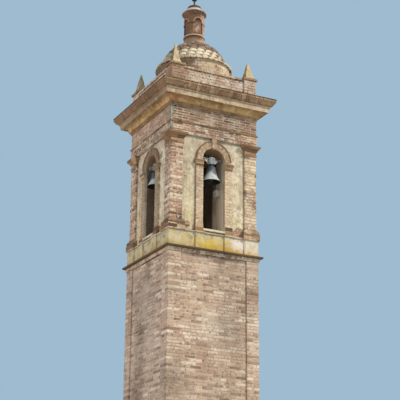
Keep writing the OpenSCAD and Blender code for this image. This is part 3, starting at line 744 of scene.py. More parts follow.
class Face(Enum):
    """A face of the tower, counted in quarter turns from the front."""

    FRONT = 0
    RIGHT = 1
    BACK = 2
    LEFT = 3

    @property
    def turn(self) -> float:
        """The face's turn about Z from the front."""
        return self.value * math.pi / 2

    @property
    def label(self) -> str:
        """The face's name, as its nodes have it."""
        return self.name.lower()

    def plan(self, u: float, n: float) -> Plan:
        """Return x and y at a distance right of the middle, seen from outside, and out from the axis."""
        return ((u, -n), (n, u), (-u, n), (-n, -u))[self.value]

    def place(self, u: float, n: float, z: float) -> Point:
        """Place a point by its distance along the face, out from the axis and up."""
        x, y = self.plan(u, n)
        return x, y, z


@dataclass
class Unit:
    """One brick, tile, stone or bolt to be laid.

    Attributes:
        centre: its middle.
        size: its width, depth and height.
        turn: its Euler turn.
        tone: which shade it takes, from 0 to 1.
    """

    centre: Point
    size: Point
    turn: Point
    tone: float


class Shape(Enum):
    """The unit shapes that are laid many times."""

    BRICK = "worn brick"
    WEDGE = "worn arch brick"
    TILE = "round-ended roof tile"
    BOLT = "hexagon bolt head"


class Prototypes:
    """The unit-sized shapes that the laying tree repeats."""

    def __init__(self) -> None:
        """Start with no shape made."""
        self.made: dict[Shape, Piece] = {}

    def get(self, shape: Shape) -> Piece:
        """Return a shape's object, building it on the first call."""
        if shape not in self.made:
            feet = {Shape.BRICK: 1.0, Shape.WEDGE: 0.68}
            others = {Shape.TILE: self.tile, Shape.BOLT: self.bolt}
            self.made[shape] = self.block(feet[shape]) if shape in feet else others[shape]()
        return self.made[shape]

    def clear(self) -> None:
        """Remove the shapes once nothing more is laid."""
        for item in self.made.values():
            bpy.data.objects.remove(item)
        self.made.clear()

    def keep(self, name: str, shape: bmesh.types.BMesh) -> Piece:
        """Put a prototype's faces in an object of its own."""
        return link(name, outward(shape, bpy.data.meshes.new(name)))

    def block(self, foot: float) -> Piece:
        """Build a unit block whose arrises the tree cuts back by one amount, whatever its size.

        Args:
            foot: width of its lower end as a share of its upper end.

        Returns:
            The prototype, with the arris directions in its "arris" attribute.
        """
        shape = bmesh.new()
        corners = [Vector((x, y, z)) for x in (-1, 1) for y in (-1, 1) for z in (-1, 1)]
        points = []
        pulls = []
        for corner in corners:
            for axis in range(3):
                pull = Vector(corner)
                pull[axis] = 0
                pulls.append(pull)
                points.append(shape.verts.new(corner * 0.5 - pull * 0.1))
        # How far apart in the list of points two corners are that differ in one axis.
        strides = (12, 6, 3)
        for axis in range(3):
            b, c = (a for a in range(3) if a != axis)
            for side in (0, 1):
                ring = [side * strides[axis] + p * strides[b] + q * strides[c] for p, q in SQUARE]
                shape.faces.new([points[k + axis] for k in ring])
            for p in (0, 1):
                for q in (0, 1):
                    low = p * strides[b] + q * strides[c]
                    high = low + strides[axis]
                    shape.faces.new([points[k] for k in (low + b, high + b, high + c, low + c)])
        for i in range(8):
            shape.faces.new(points[3 * i : 3 * i + 3])
        item = self.keep("block", shape)
        arris = item.data.attributes.new("arris", "FLOAT_VECTOR", "POINT")
        for i, vertex in enumerate(item.data.vertices):
            vertex.co = corners[i // 3] * 0.5
            if vertex.co.z < 0:
                vertex.co.x *= foot
            arris.data[i].vector = pulls[i]
        return item

    def tile(self) -> Piece:
        """Build a humped tile with a rounded lower end, one unit wide, long and thick."""
        shape = bmesh.new()
        across, along = 6, 4
        hump = 1.3
        layers = []
        for level in (0.5, -0.5):
            rows = []
            for j in range(along + 1):
                row = []
                for i in range(across + 1):
                    x = i / across - 0.5
                    low = -0.5 + 0.16 * (2 * x) ** 2
                    y = low + (0.5 - low) * j / along
                    z = level + hump * (1 - (2 * x) ** 2) - hump * 0.5
                    row.append(shape.verts.new((x, y, z)))
                rows.append(row)
            layers.append(rows)
        for rows in layers:
            for j in range(along):
                for i in range(across):
                    shape.faces.new((rows[j][i], rows[j][i + 1], rows[j + 1][i + 1], rows[j + 1][i]))
        columns = [list(zip(*rows)) for rows in layers]
        for top, bottom in (columns, layers):
            for upper, lower in ((top[0], bottom[0]), (top[-1], bottom[-1])):
                for i in range(len(upper) - 1):
                    shape.faces.new((upper[i], upper[i + 1], lower[i + 1], lower[i]))
        return self.keep("tile", shape)

    def bolt(self) -> Piece:
        """Build a chamfered hexagon, one unit across and deep, its head towards -Y."""
        shape = bmesh.new()
        angles = [math.pi / 3 * i for i in range(6)]
        rings = []
        for radius, y in ((0.5, 0.5), (0.5, -0.35), (0.4, -0.5)):
            rings.append([shape.verts.new((radius * math.cos(a), y, radius * math.sin(a))) for a in angles])
        for low, high in zip(rings, rings[1:]):
            for i in range(6):
                shape.faces.new((low[i], low[(i + 1) % 6], high[(i + 1) % 6], high[i]))
        shape.faces.new(rings[0])
        shape.faces.new(rings[-1])
        return self.keep("bolt", shape)


def laying_tree() -> bpy.types.GeometryNodeTree:
    """Build the tree that lays a worn unit at each point, once for all its users.

    Returns:
        A tree whose inputs are the points, the unit's shape and finish, the cut of its arrises, and
        the depth, width and seed of its wear.
    """
    name = "lay_units"
    if name in bpy.data.node_groups:
        return bpy.data.node_groups[name]
    tree = bpy.data.node_groups.new(name, "GeometryNodeTree")
    for label, kind in (
        ("Points", "Geometry"),
        ("Unit", "Object"),
        ("Arris", "Float"),
        ("Wear", "Float"),
        ("Wear Width", "Float"),
        ("Seed", "Float"),
        ("Finish", "Material"),
    ):
        tree.interface.new_socket(name=label, in_out="INPUT", socket_type=f"NodeSocket{kind}")
    tree.interface.new_socket(name="Geometry", in_out="OUTPUT", socket_type="NodeSocketGeometry")
    given = add(tree, "NodeGroupInput").node.outputs
    size, euler, arris = (
        add(tree, "GeometryNodeInputNamedAttribute", {"Name": label}, data_type="FLOAT_VECTOR")
        for label in ("size", "turn", "arris")
    )
    turn = add(tree, "FunctionNodeEulerToRotation", {0: euler})
    unit = add(tree, "GeometryNodeObjectInfo", {"Object": given["Unit"]}, "Geometry")
    where = {"Points": given["Points"], "Instance": unit, "Rotation": turn, "Scale": size}
    laid = add(tree, "GeometryNodeInstanceOnPoints", where)
    real = add(tree, "GeometryNodeRealizeInstances", {"Geometry": laid})
    back = add(tree, MATH, {0: given["Arris"], 1: -1.0}, operation="MULTIPLY")
    cut = add(tree, VECTOR_MATH, {0: arris, "Scale": back}, operation="SCALE")
    cut = add(tree, "FunctionNodeRotateVector", {0: cut, 1: turn})
    blunt = add(tree, "GeometryNodeSetPosition", {"Geometry": real, "Offset": cut})
    rate = add(tree, MATH, {0: 1.0, 1: given["Wear Width"]}, operation="DIVIDE")
    spot = add(tree, "GeometryNodeInputPosition")
    wear = {"Vector": spot, "W": given["Seed"], "Scale": rate, "Detail": 1.0}
    cloud = add(tree, NOISE_TEXTURE, wear, "Color", noise_dimensions="4D")
    centred = add(tree, VECTOR_MATH, {0: cloud, 1: (0.5, 0.5, 0.5)}, operation="SUBTRACT")
    double = add(tree, MATH, {0: given["Wear"], 1: 4.0}, operation="MULTIPLY")
    shift = add(tree, VECTOR_MATH, {0: centred, "Scale": double}, operation="SCALE")
    worn = add(tree, "GeometryNodeSetPosition", {"Geometry": blunt, "Offset": shift})
    real = add(tree, "GeometryNodeRealizeInstances", {"Geometry": worn})
    done = add(tree, "GeometryNodeSetMaterial", {"Geometry": real, "Material": given["Finish"]})
    add(tree, "NodeGroupOutput", {0: done})
    return tree


class Site:
    """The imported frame, the unit shapes, and the way a finished piece joins the tower."""

    def __init__(self, frame: dict) -> None:
        self.frame = frame
        self.prototypes = Prototypes()

    def join(
        self, name: str, mesh: Mesh, body: str = "tower", replaces: Sequence[str] = ()
    ) -> None:
        """Add a finished mesh as a piece of the tower.

        Args:
            name: the piece's name.
            mesh: its mesh, in place.
            body: the body that it rides on.
            replaces: the CAD nodes that it stands for.
        """
        mesh.name = name
        piece = link(name, mesh)
        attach(piece, body)
        if replaces:
            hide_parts(*replaces)
        faces = sum(len(p.vertices) - 2 for p in mesh.polygons)
        LOG.info("%s: %d triangles on %s", name, faces, body)

    def lay(
        self,
        name: str,
        bond: Bond,
        finish: Finish,
        slot: str,
        shape: Shape = Shape.BRICK,
        arris: float = 0.004,
        wear: float = 0.002,
        body: str = "tower",
    ) -> None:
        """Lay units with the laying tree and join the result to the tower.

        Args:
            name: the piece's name.
            bond: the units to lay.
            finish: the units' finish.
            slot: the record's material slot; not used.
            shape: the units' shape.
            arris: how far the arrises are cut back.
            wear: depth of the wear.
            body: the body that the piece rides on.
        """
        units = bond.units
        points = bpy.data.meshes.new(name)
        points.from_pydata([u.centre for u in units], [], [])
        for label, kind, key, values in (
            ("size", "FLOAT_VECTOR", "vector", [v for u in units for v in u.size]),
            ("turn", "FLOAT_VECTOR", "vector", [v for u in units for v in u.turn]),
            ("tone", "FLOAT", "value", [u.tone for u in units]),
        ):
            points.attributes.new(label, kind, "POINT").data.foreach_set(key, values)
        holder = link(name, points)
        tree = laying_tree()
        modifier = holder.modifiers.new("lay", "NODES")
        modifier.node_group = tree
        values = {
            "Unit": self.prototypes.get(shape),
            "Arris": arris,
            "Wear": wear,
            "Wear Width": WEAR_WIDTH,
            "Seed": LAYING_SEED,
            "Finish": finish.material(),
        }
        for socket in tree.interface.items_tree:
            if socket.in_out == "INPUT" and socket.name in values:
                modifier[socket.identifier] = values[socket.name]
        depsgraph = bpy.context.evaluated_depsgraph_get()
        laid = holder.evaluated_get(depsgraph)
        mesh = bpy.data.meshes.new_from_object(laid, preserve_all_data_layers=True, depsgraph=depsgraph)
        bpy.data.objects.remove(holder)
        bpy.data.meshes.remove(points)
        for label in ("size", "turn", "arris"):
            if label in mesh.attributes:
                mesh.attributes.remove(mesh.attributes[label])
        self.join(name, mesh, body)

    def section(self, node: str, low: float) -> Section:
        """Read a moulding's section from its CAD node, on the back face and right of the middle.

        Args:
            node: the CAD node.
            low: lowest x and y read.

        Returns:
            Points of distance out and height, walked from the foot.
        """
        left = {
            (round(v.co.y, 4), round(v.co.z, 4))
            for v in self.frame["nodes"][node].data.vertices
            if min(v.co.x, v.co.y) >= low
        }
        walk = [min(left, key=lambda p: (p[1], p[0]))]
        left.remove(walk[0])
        while left:
            last = walk[-1]
            walk.append(min(left, key=lambda p: math.dist(p, last)))
            left.remove(walk[-1])
        return walk

    def dress(self, finish: Finish, *nodes: str) -> None:
        """Give CAD nodes a finish."""
        for node in nodes:
            mesh = self.frame["nodes"][node].data
            mesh.materials.clear()
            mesh.materials.append(finish.material())


@dataclass
class Blocks(Draws):
    """Closed blocks gathered into one mesh, each with its own tone.

    Attributes:
        finish: the finish of the mesh.
        wear: depth of the wear on their arrises, whose pattern the seed shifts.
        wear_width: width of a worn place.
    """

    finish: Finish
    wear: float = 0.003
    wear_width: float = WEAR_WIDTH
    points: list[Point] = field(default_factory=list)
    faces: list[tuple[int, ...]] = field(default_factory=list)
    tones: list[float] = field(default_factory=list)

    def rings(self, rings: Sequence[Sequence[Point]], tone: float) -> None:
        """Add a solid from equal rings of points, each ring counted clockwise about the way on.

        Args:
            rings: the rings, from one end to the other.
            tone: its tone.
        """
        start = len(self.points)
        count = len(rings[0])
        for ring in rings:
            self.points.extend(ring)
        self.tones.extend([tone] * count * len(rings))
        for i in range(len(rings) - 1):
            near = start + i * count
            for j in range(count):
                k = (j + 1) % count
                self.faces.append((near + j, near + k, near + count + k, near + count + j))
        self.faces.append(tuple(start + j for j in reversed(range(count))))
        self.faces.append(tuple(start + (len(rings) - 1) * count + j for j in range(count)))

    def run(
        self,
        path: Sequence[Plan],
        section: Section,
        pitch: float,
        joint: float = 0.007,
        closed: bool = False,
        back: float = 0.03,
        cuts: int = 1,
        shift: float = 0.0015,
    ) -> None:
        """Lay moulded blocks along a path, mitred at its corners.

        Args:
            path: the corners of the base line, with the outside on the right.
            section: distances out from the base line and heights, from the foot.
            pitch: length of a block with its joint.
            joint: width of a joint.
            closed: whether the path returns to its start.
            back: how far the blocks reach behind the base line.
            cuts: how many spans a block is cut into along its length.
            shift: how far a block may stand out of line.
        """
        corners = [Vector(p) for p in (*path, path[0])] if closed else [Vector(p) for p in path]
        outline = [(-back, section[0][1]), *section, (-back, section[-1][1])]
        legs = []
        for a, b in zip(corners, corners[1:]):
            way = (b - a).normalized()
            legs.append((a, (b - a).length, way, Vector((way.y, -way.x))))
        for i, (start, length, way, out) in enumerate(legs):
            before = legs[i - 1][3] if closed or i else None
            after = legs[(i + 1) % len(legs)][3] if closed or i + 1 < len(legs) else None
            lead = before.dot(way) / (1 + before.dot(out)) if before else 0.0
            trail = after.dot(way) / (1 + after.dot(out)) if after else 0.0
            number = max(1, round(length / pitch))
            edges = [length * j / number for j in range(number + 1)]
            for j in range(1, number):
                edges[j] += self.rng.uniform(-0.12, 0.12) * length / number
            for j in range(number):
                push = self.rng.uniform(-shift, shift)
                lift = self.rng.uniform(-shift, shift) * 0.5
                rings = []
                for k in range(cuts + 1):
                    share = k / cuts
                    ring = []
                    for o, z in outline:
                        near = edges[j] + joint / 2 + (lead * o if j == 0 else 0.0)
                        far = edges[j + 1] - joint / 2 + (trail * o if j == number - 1 else 0.0)
                        spot = start + way * (near + (far - near) * share) + out * (o + push)
                        ring.append((spot.x, spot.y, z + lift))
                    rings.append(ring)
                self.rings(rings, self.tone())

    def box(
        self, low: Point, high: Point, cell: float, tone: float | None = None, face: Face = Face.FRONT
    ) -> None:
        """Add a box cut into cells, so that its wear shows.

        Args:
            low: lowest distance along the face, out from the axis and up.
            high: the highest.
            cell: width of a cell.
            tone: its tone, drawn where none is given.
            face: the face of the tower that it is on.
        """
        tone = self.tone() if tone is None else tone
        steps = [max(1, round((high[i] - low[i]) / cell)) for i in range(3)]
        index: dict[tuple[int, int, int], int] = {}

        def corner(spot: Sequence[int]) -> int:
            """Return the number of a grid point, adding it on the first call."""
            if tuple(spot) not in index:
                index[tuple(spot)] = len(self.points)
                at = [low[a] + (high[a] - low[a]) * c / steps[a] for a, c in enumerate(spot)]
                self.points.append(face.place(*at))
                self.tones.append(tone)
            return index[tuple(spot)]

        for axis in range(3):
            b, c = (axis + 1) % 3, (axis + 2) % 3
            for side in (0, steps[axis]):
                for p in range(steps[b]):
                    for q in range(steps[c]):
                        loop = []
                        for dp, dq in SQUARE:
                            at = [0, 0, 0]
                            at[axis], at[b], at[c] = side, p + dp, q + dq
                            loop.append(corner(at))
                        if side:
                            loop.reverse()
                        self.faces.append(tuple(loop))

    def mesh(self, smooth: bool = False) -> Mesh:
        """Wear the blocks and return them as one mesh with its tones and material.

        Args:
            smooth: whether its faces are shaded smooth.

        Returns:
            The mesh.
        """
        worn = []
        drift = Vector((self.seed * 3.1, self.seed * 1.7, 0.0))
        for point in self.points:
            at = Vector(point)
            worn.append(at + noise.noise_vector(at / self.wear_width + drift) * self.wear)
        mesh = bpy.data.meshes.new("blocks")
        mesh.from_pydata(worn, [], self.faces)
        shape = bmesh.new()
        shape.from_mesh(mesh)
        outward(shape, mesh)
        mesh.attributes.new("tone", "FLOAT", "POINT").data.foreach_set("value", self.tones)
        mesh.materials.append(self.finish.material())
        mesh.polygons.foreach_set("use_smooth", [smooth] * len(mesh.polygons))
        return mesh


def square(half: float) -> list[Plan]:
    """Return the corners of a square, with the outside on the right of the path."""
    return [(-half, -half), (half, -half), (half, half), (-half, half)]


def turned_path(path: Sequence[Plan], face: Face) -> list[Plan]:
    """Turn a path from the front to a face."""
    return [face.plan(x, -y) for x, y in path]


def above(section: Section, low: float, high: float, base: float, out: float = 0.0) -> Section:
    """Take a section's points between two heights, out from a base line and proud of it by out."""
    return [(n - base + out, z) for n, z in section if low - 1e-4 <= z <= high + 1e-4]


@dataclass
class Bond(Draws):
    """Bricks laid in courses over a solid.

    Attributes:
        length: length of a stretcher.
        width: width of a brick, which shows where it ends at a corner.
        joint: width of a joint.
        proud: how far the bricks stand out of the mortar.
        reveal: how far they stand out of a pier's inner sides.
        bed: how deep a brick lies in the wall where its end doesn't show.
    """

    length: float = 0.285
    width: float = 0.14
    joint: float = 0.012
    proud: float = 0.005
    reveal: float = 0.004
    bed: float = 0.03
    units: list[Unit] = field(default_factory=list)

    def put(self, centre: Point, size: Point, turn: Point, tone: float | None = None) -> None:
        """Put one unit in its place, with a drawn tone where none is given."""
        self.units.append(Unit(centre, size, turn, self.tone() if tone is None else tone))

    def stand(self, out: float, angle: float, z: float, size: Point, tone: float | None = None) -> None:
        """Put a unit at a distance from the tower's axis and a bearing, facing outward."""
        self.put(polar(out, angle, z), size, (0.0, 0.0, angle + math.pi / 2), tone)

    def courses(self, low: float, high: float, height: float = 0.0705) -> list[Course]:
        """Share a height out into whole courses.

        Args:
            low: foot of the wall.
            high: its head.
            height: wanted height of a course.

        Returns:
            Number, middle and height of each course.
        """
        count = max(1, round((high - low) / height))
        step = (high - low) / count
        return [(i, low + step * (i + 0.5), step) for i in range(count)]

    def brick(
        self, face: Face, u0: float, u1: float, n: float, z: float, height: float, depth: float
    ) -> None:
        """Lay one brick on a face.

        Args:
            face: the face.
            u0: its left end.
            u1: its right end.
            n: distance of its face from the axis.
            z: its middle.
            height: height of its course, with the bed joint.
            depth: how deep it is.
        """
        if u1 - u0 < 0.02:
            return
        draw = self.rng.uniform
        out = n + draw(-0.002, 0.0015)
        centre = face.place((u0 + u1) / 2, out - depth / 2, z + draw(-0.0015, 0.0015))
        size = (u1 - u0, depth, height - self.joint + draw(-0.002, 0.002))
        turn = (0.0, draw(-0.006, 0.006), face.turn + draw(-0.004, 0.004))
        self.put(centre, size, turn)

    def stretch(
        self,
        face: Face,
        u0: float,
        u1: float,
        n: float,
        course: Course,
        depth: float | None = None,
        keep: Callable[[float, float], bool] | None = None,
        staggered: bool = True,
    ) -> None:
        """Lay a course of stretchers between two ends.

        Args:
            face: the face.
            u0: left end.
            u1: right end.
            n: distance of the wall's face from the axis.
            course: number, middle and height of the course.
            depth: depth of the bricks.
            keep: tells whether a brick with its middle at u and z is laid.
            staggered: whether odd courses are moved by half a brick.
        """
        number, z, height = course
        count = max(1, round((u1 - u0) / self.length))
        step = (u1 - u0) / count
        edges = [u0 + step * i for i in range(count + 1)]
        if staggered and number % 2 and count > 1:
            edges = [u0] + [e - step / 2 for e in edges[1:]] + [u1]
        for i in range(1, len(edges) - 1):
            edges[i] += self.rng.uniform(-0.014, 0.014)
        gap = self.joint / 2
        for a, b in zip(edges, edges[1:]):
            if keep is None or keep((a + b) / 2, z):
                self.brick(face, a + gap, b - gap, n + self.proud, z, height, depth or self.bed)

    def pier(self, half: float, width: float, course: Course) -> None:
        """Lay one course of the four corner piers.

        Args:
            half: distance of the piers' faces from the axis.
            width: width of a pier.
            course: number, middle and height of the course.
        """
        number, z, height = course
        lip = half + self.proud
        near, far = half - width - self.reveal, -half + width + self.reveal
        for face in Face:
            after = Face((face.value + 1) % 4)
            if (number + face.value) % 2:
                self.brick(face, near, lip, lip, z, height, self.width)
                self.brick(after, -lip + self.width + self.joint, far, lip, z, height, self.width / 2)
            else:
                self.brick(after, -lip, far, lip, z, height, self.width)
                self.brick(face, near, lip - self.width - self.joint, lip, z, height, self.width / 2)

    def ring(self, half: float, course: Course) -> None:
        """Lay one course round a square wall, with the corners in bond.

        Args:
            half: distance of the wall's faces from the axis.
            course: number, middle and height of the course.
        """
        number, z, height = course
        lip = half + self.proud
        for face in Face:
            if number % 2:
                self.brick(face, lip - self.length, lip, lip, z, height, self.width)
                ends = (-lip + self.width + self.joint / 2, lip - self.length - self.joint / 2)
            else:
                self.brick(face, -lip, -lip + self.length, lip, z, height, self.width)
                ends = (-lip + self.length + self.joint / 2, lip - self.width - self.joint / 2)
            self.stretch(face, *ends, half, course, staggered=False)

    def round(self, radius: float, course: Course) -> None:
        """Lay one course of headers round a drum.

        Args:
            radius: radius of the drum.
            course: number, middle and height of the course.
        """
        number, z, height = course
        count = round(math.tau * radius / self.width)
        for i in range(count):
            angle = math.tau * (i + 0.5 * (number % 2) + self.rng.uniform(-0.04, 0.04)) / count
            out = radius + self.proud - self.bed / 2 + self.rng.uniform(-0.002, 0.002)
            size = (math.tau * radius / count - self.joint, self.bed, height - self.joint)
            self.stand(out, angle, z, size)


@dataclass
class Shaft:
    """The shaft: plinth, walls between corner strips, and the string course at its head.

    Attributes:
        seed: seed of its draws.
        row_pitch: length of the string course's lower bricks with their joint.
        moulding_pitch: the same of its moulded bricks.
    """

    seed: int = 11
    row_pitch: float = 0.15
    moulding_pitch: float = 0.145

    def build(self, site: Site) -> None:
        """Lay the bricks of the shaft over its solids."""
        strips_low, strips_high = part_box("corner_strips")
        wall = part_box("back_shaft_wall")[1]
        width = strips_high.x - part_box("front_shaft_wall")[1].x
        inner = strips_high.x - width
        strips = Bond(seed=self.seed)
        walls = {face: Bond(seed=self.seed + 1 + face.value) for face in Face}
        for course in strips.courses(strips_low.z, strips_high.z):
            strips.pier(strips_high.x, width, course)
            for face, bond in walls.items():
                bond.stretch(face, -inner, inner, wall.y, course)
        site.lay("strip_bricks", strips, WASHED_BRICK, "brick")
        for face, bond in walls.items():
            site.lay(f"{face.label}_wall_bricks", bond, WASHED_BRICK, "brick")
            site.dress(MORTAR, f"{face.label}_shaft_wall")
        plinth = Bond(seed=self.seed + 9)
        foot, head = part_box("plinth")
        for course in plinth.courses(foot.z + 0.004, head.z - 0.05):
            plinth.ring(head.x - plinth.proud - 0.001, course)
        site.lay("plinth_bricks", plinth, WASHED_BRICK, "brick")
        site.dress(MORTAR, "plinth", "ground_floor", "corner_strips", "belfry_floor")
        site.dress(BROWN_BRICK, "string_course")
        self.string_course(site)

    def string_course(self, site: Site) -> None:
        """Lay the string course as two rows of moulded bricks."""
        section = site.section("string_course", 0.9)
        base = section[0][0]
        rows = Blocks(RUBBED_BRICK, seed=self.seed)
        for low, high, pitch in (
            (section[0][1], section[2][1], self.row_pitch),
            (section[3][1], math.inf, self.moulding_pitch),
        ):
            part = above(section, low, high, base, 0.004)
            rows.run(square(base), part, pitch, closed=True)
        site.join("string_course_bricks", rows.mesh())


@dataclass
class Belfry:
    """The belfry storey: pedestals, piers, arches, stucco and the mouldings between them.

    Attributes:
        seed: seed of its draws.
        coat: how thick the stucco is.
        coat_cell: width of a cell of the stucco.
        opening: half width of an arch, which is its radius too.
        jamb: distance of the jambs' outer sides from the middle.
        arch_width: width of an archivolt, up to its keystone's rise.
        key_rise: how far the keystone stands over the archivolt.
        arch_face: distance of the archivolts' faces from the axis.
        arch_bricks: number of bricks round an arch, the keystone's place included.
        fillet_bricks: number of bricks of the fillet over them.
    """

    seed: int = 31
    coat: float = 0.006
    coat_cell: float = 0.03
    opening: float = 0.275
    jamb: float = 0.45
    arch_width: float = 0.168
    key_rise: float = 0.059
    arch_face: float = 1.083
    arch_bricks: int = 21
    fillet_bricks: int = 13

    def build(self, site: Site) -> None:
        """Dress the belfry from its pedestals to its capitals."""
        self.pedestals(site)
        self.piers(site)
        self.mouldings(site)
        self.jambs(site)
        self.arches(site)
        for face in Face:
            self.stucco(site, face)
            site.dress(CHAMBER, f"{face.label}_belfry_wall")
        site.dress(MORTAR, "corner_pilasters", "pilaster_bases", "pilaster_capitals", "jamb_pilasters")
        site.dress(MORTAR, "imposts", "archivolts", "pedestal_caps")
        site.dress(LICHEN_STUCCO, "pedestal_course", "pedestals")
        site.dress(PALE_STONE, "sills")

    @property
    def spring(self) -> float:
        """Height of the arches' springing."""
        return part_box("archivolts")[1].z - self.key_rise - self.arch_width - self.opening

    def pedestals(self, site: Site) -> None:
        """Coat the pedestal course and its pedestals with uneven stucco."""
        low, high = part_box("pedestal_course")
        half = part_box("pedestals")[1].x
        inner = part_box("front_belfry_wall")[1].x
        coat = Blocks(LICHEN_STUCCO, wear=0.006, wear_width=0.12, seed=self.seed)
        for face in Face:
            coat.box((-inner, high.x - 0.05, low.z), (inner, high.x + 0.006, high.z), 0.03, 0.5, face)
            for a, b in ((-0.462, -0.263), (0.263, 0.462)):
                coat.box((a, half - 0.05, low.z), (b, half + 0.005, high.z), 0.03, 0.5, face)
        for face in Face:
            corner = (half + 0.005, half + 0.005, high.z)
            coat.box((inner - 0.003, inner - 0.003, low.z), corner, 0.033, 0.5, face)
        site.join("pedestal_stucco", coat.mesh())
        caps = Blocks(RUBBED_BRICK, seed=self.seed + 1)
        cap_low, cap_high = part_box("pedestal_caps")
        line = [(0.0, cap_low.z - 0.002), (0.006, cap_high.z - 0.004), (0.0, cap_high.z + 0.003)]
        lip = cap_high.x
        side = inner - (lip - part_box("corner_pilasters")[1].x)
        course = high.x + 0.032
        for face in Face:
            corner = [(side, -course), (side, -lip), (lip, -lip), (lip, -side), (course, -side)]
            caps.run(turned_path(corner, face), line, 0.19, joint=0.005)
        site.join("cap_course_tiles", caps.mesh())

    def piers(self, site: Site) -> None:
        """Lay the bricks of the corner pilasters."""
        low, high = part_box("corner_pilasters")
        width = high.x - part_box("front_belfry_wall")[1].x
        bond = Bond(seed=self.seed + 3, proud=0.006, spread=1.35)
        for course in bond.courses(low.z, high.z):
            bond.pier(high.x, width, course)
        site.lay("pilaster_bricks", bond, BRICK, "brick", arris=0.007, wear=0.003)

    def mouldings(self, site: Site) -> None:
        """Lay the bases and the capitals round the corner pilasters."""
        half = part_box("corner_pilasters")[1].x
        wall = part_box("front_belfry_wall")[1]
        stucco = -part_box("front_belfry_wall")[0].y
        path = [(wall.x, -stucco), (wall.x, -half), (half, -half), (half, -wall.x), (stucco, -wall.x)]
        for name, node, finish, splits in (
            ("base_bricks", "pilaster_bases", BROWN_BRICK, (0.07, 0.105, 0.17)),
            ("capital_bricks", "pilaster_capitals", DRIP_BRICK, (0.04, 0.106, 0.187)),
        ):
            section = self.corner_section(site, node)
            low = section[0][1]
            blocks = Blocks(finish, wear=0.004, seed=self.seed + len(name))
            for part in self.rows(section, [low + s for s in splits]):
                offsets = [(n - half + 0.004, z) for n, z in part]
                for face in Face:
                    blocks.run(turned_path(path, face), offsets, 0.15, joint=0.006, back=0.04)
            site.join(name, blocks.mesh())

    def corner_section(self, site: Site, node: str) -> Section:
        """Read a corner moulding's section where its two outer faces meet."""
        spots = {
            (round(v.co.y, 4), round(v.co.z, 4))
            for v in site.frame["nodes"][node].data.vertices
            if v.co.x > 1.0 and abs(v.co.x - v.co.y) < 1e-4
        }
        return sorted(spots, key=lambda p: (p[1], p[0]))

    @staticmethod
    def rows(section: Section, cuts: Sequence[float]) -> list[Section]:
        """Cut a section into rows at given heights.

        Args:
            section: distances out and heights, from the foot.
            cuts: heights of the bed joints.

        Returns:
            The rows' sections.
        """

        def out_at(height: float) -> float:
            """Return the distance out at a height."""
            for (n0, z0), (n1, z1) in zip(section, section[1:]):
                if z0 <= height <= z1 and z1 > z0:
                    return n0 + (n1 - n0) * (height - z0) / (z1 - z0)
            return section[-1][0]

        parts = []
        joint = 0.006
        edges = [section[0][1], *cuts, section[-1][1]]
        for low, high in zip(edges, edges[1:]):
            foot = low + (joint / 2 if low > section[0][1] else 0.0)
            head = high - (joint / 2 if high < section[-1][1] else 0.0)
            inside = [(n, z) for n, z in section if foot < z < head]
            parts.append([(out_at(foot + 1e-5), foot), *inside, (out_at(head - 1e-5), head)])
        return parts

    @staticmethod
    def slab(out: float, low: float, high: float) -> Section:
        """Return the section of a slab with blunted edges, between two heights."""
        back = out - 0.003
        return [(back, low + 0.003), (out, low + 0.008), (out, high - 0.008), (back, high - 0.003)]

    def jambs(self, site: Site) -> None:
        """Lay the jamb pilasters with their feet and imposts."""
        low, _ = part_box("jamb_pilasters")
        impost_low, impost_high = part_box("imposts")
        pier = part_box("corner_pilasters")[1].x
        stucco = -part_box("front_belfry_wall")[0].y
        bond = Bond(seed=self.seed + 4, length=0.175, joint=0.011, spread=0.5)
        foot = 0.2
        top = pier + 0.004
        for face in Face:
            for side in (-1, 1):
                for number, z, height in bond.courses(low.z + foot, impost_low.z):
                    a, b = sorted((side * (self.opening - 0.004), side * (self.jamb + 0.004)))
                    split = a + (0.118 if number % 2 else 0.066)
                    bond.brick(face, a, split - 0.004, top, z, height, 0.06)
                    bond.brick(face, split + 0.004, b, top, z, height, 0.06)
        site.lay("jamb_bricks", bond, JAMB_BRICK, "pale_brick", arris=0.005)
        blocks = Blocks(DRIP_BRICK, seed=self.seed + 5)
        rise = impost_high.z - impost_low.z
        parts = []
        for out, a, b in ((0.0141, 0.0, 0.3), (0.0264, 0.3, 0.62), (0.044, 0.62, 1.0)):
            parts.append(self.slab(out + 0.003, impost_low.z + rise * a, impost_low.z + rise * b))
        parts.append(self.slab(0.033, low.z, low.z + foot / 2))
        parts.append(self.slab(0.019, low.z + foot / 2, low.z + foot))
        right = [(self.opening, -pier), (self.jamb, -pier), (self.jamb, -stucco)]
        left = [(-u, n) for u, n in reversed(right)]
        for face in Face:
            for path in (left, right):
                for part in parts:
                    blocks.run(turned_path(path, face), part, 0.18, joint=0.005, back=0.05)
        site.join("impost_bricks", blocks.mesh())

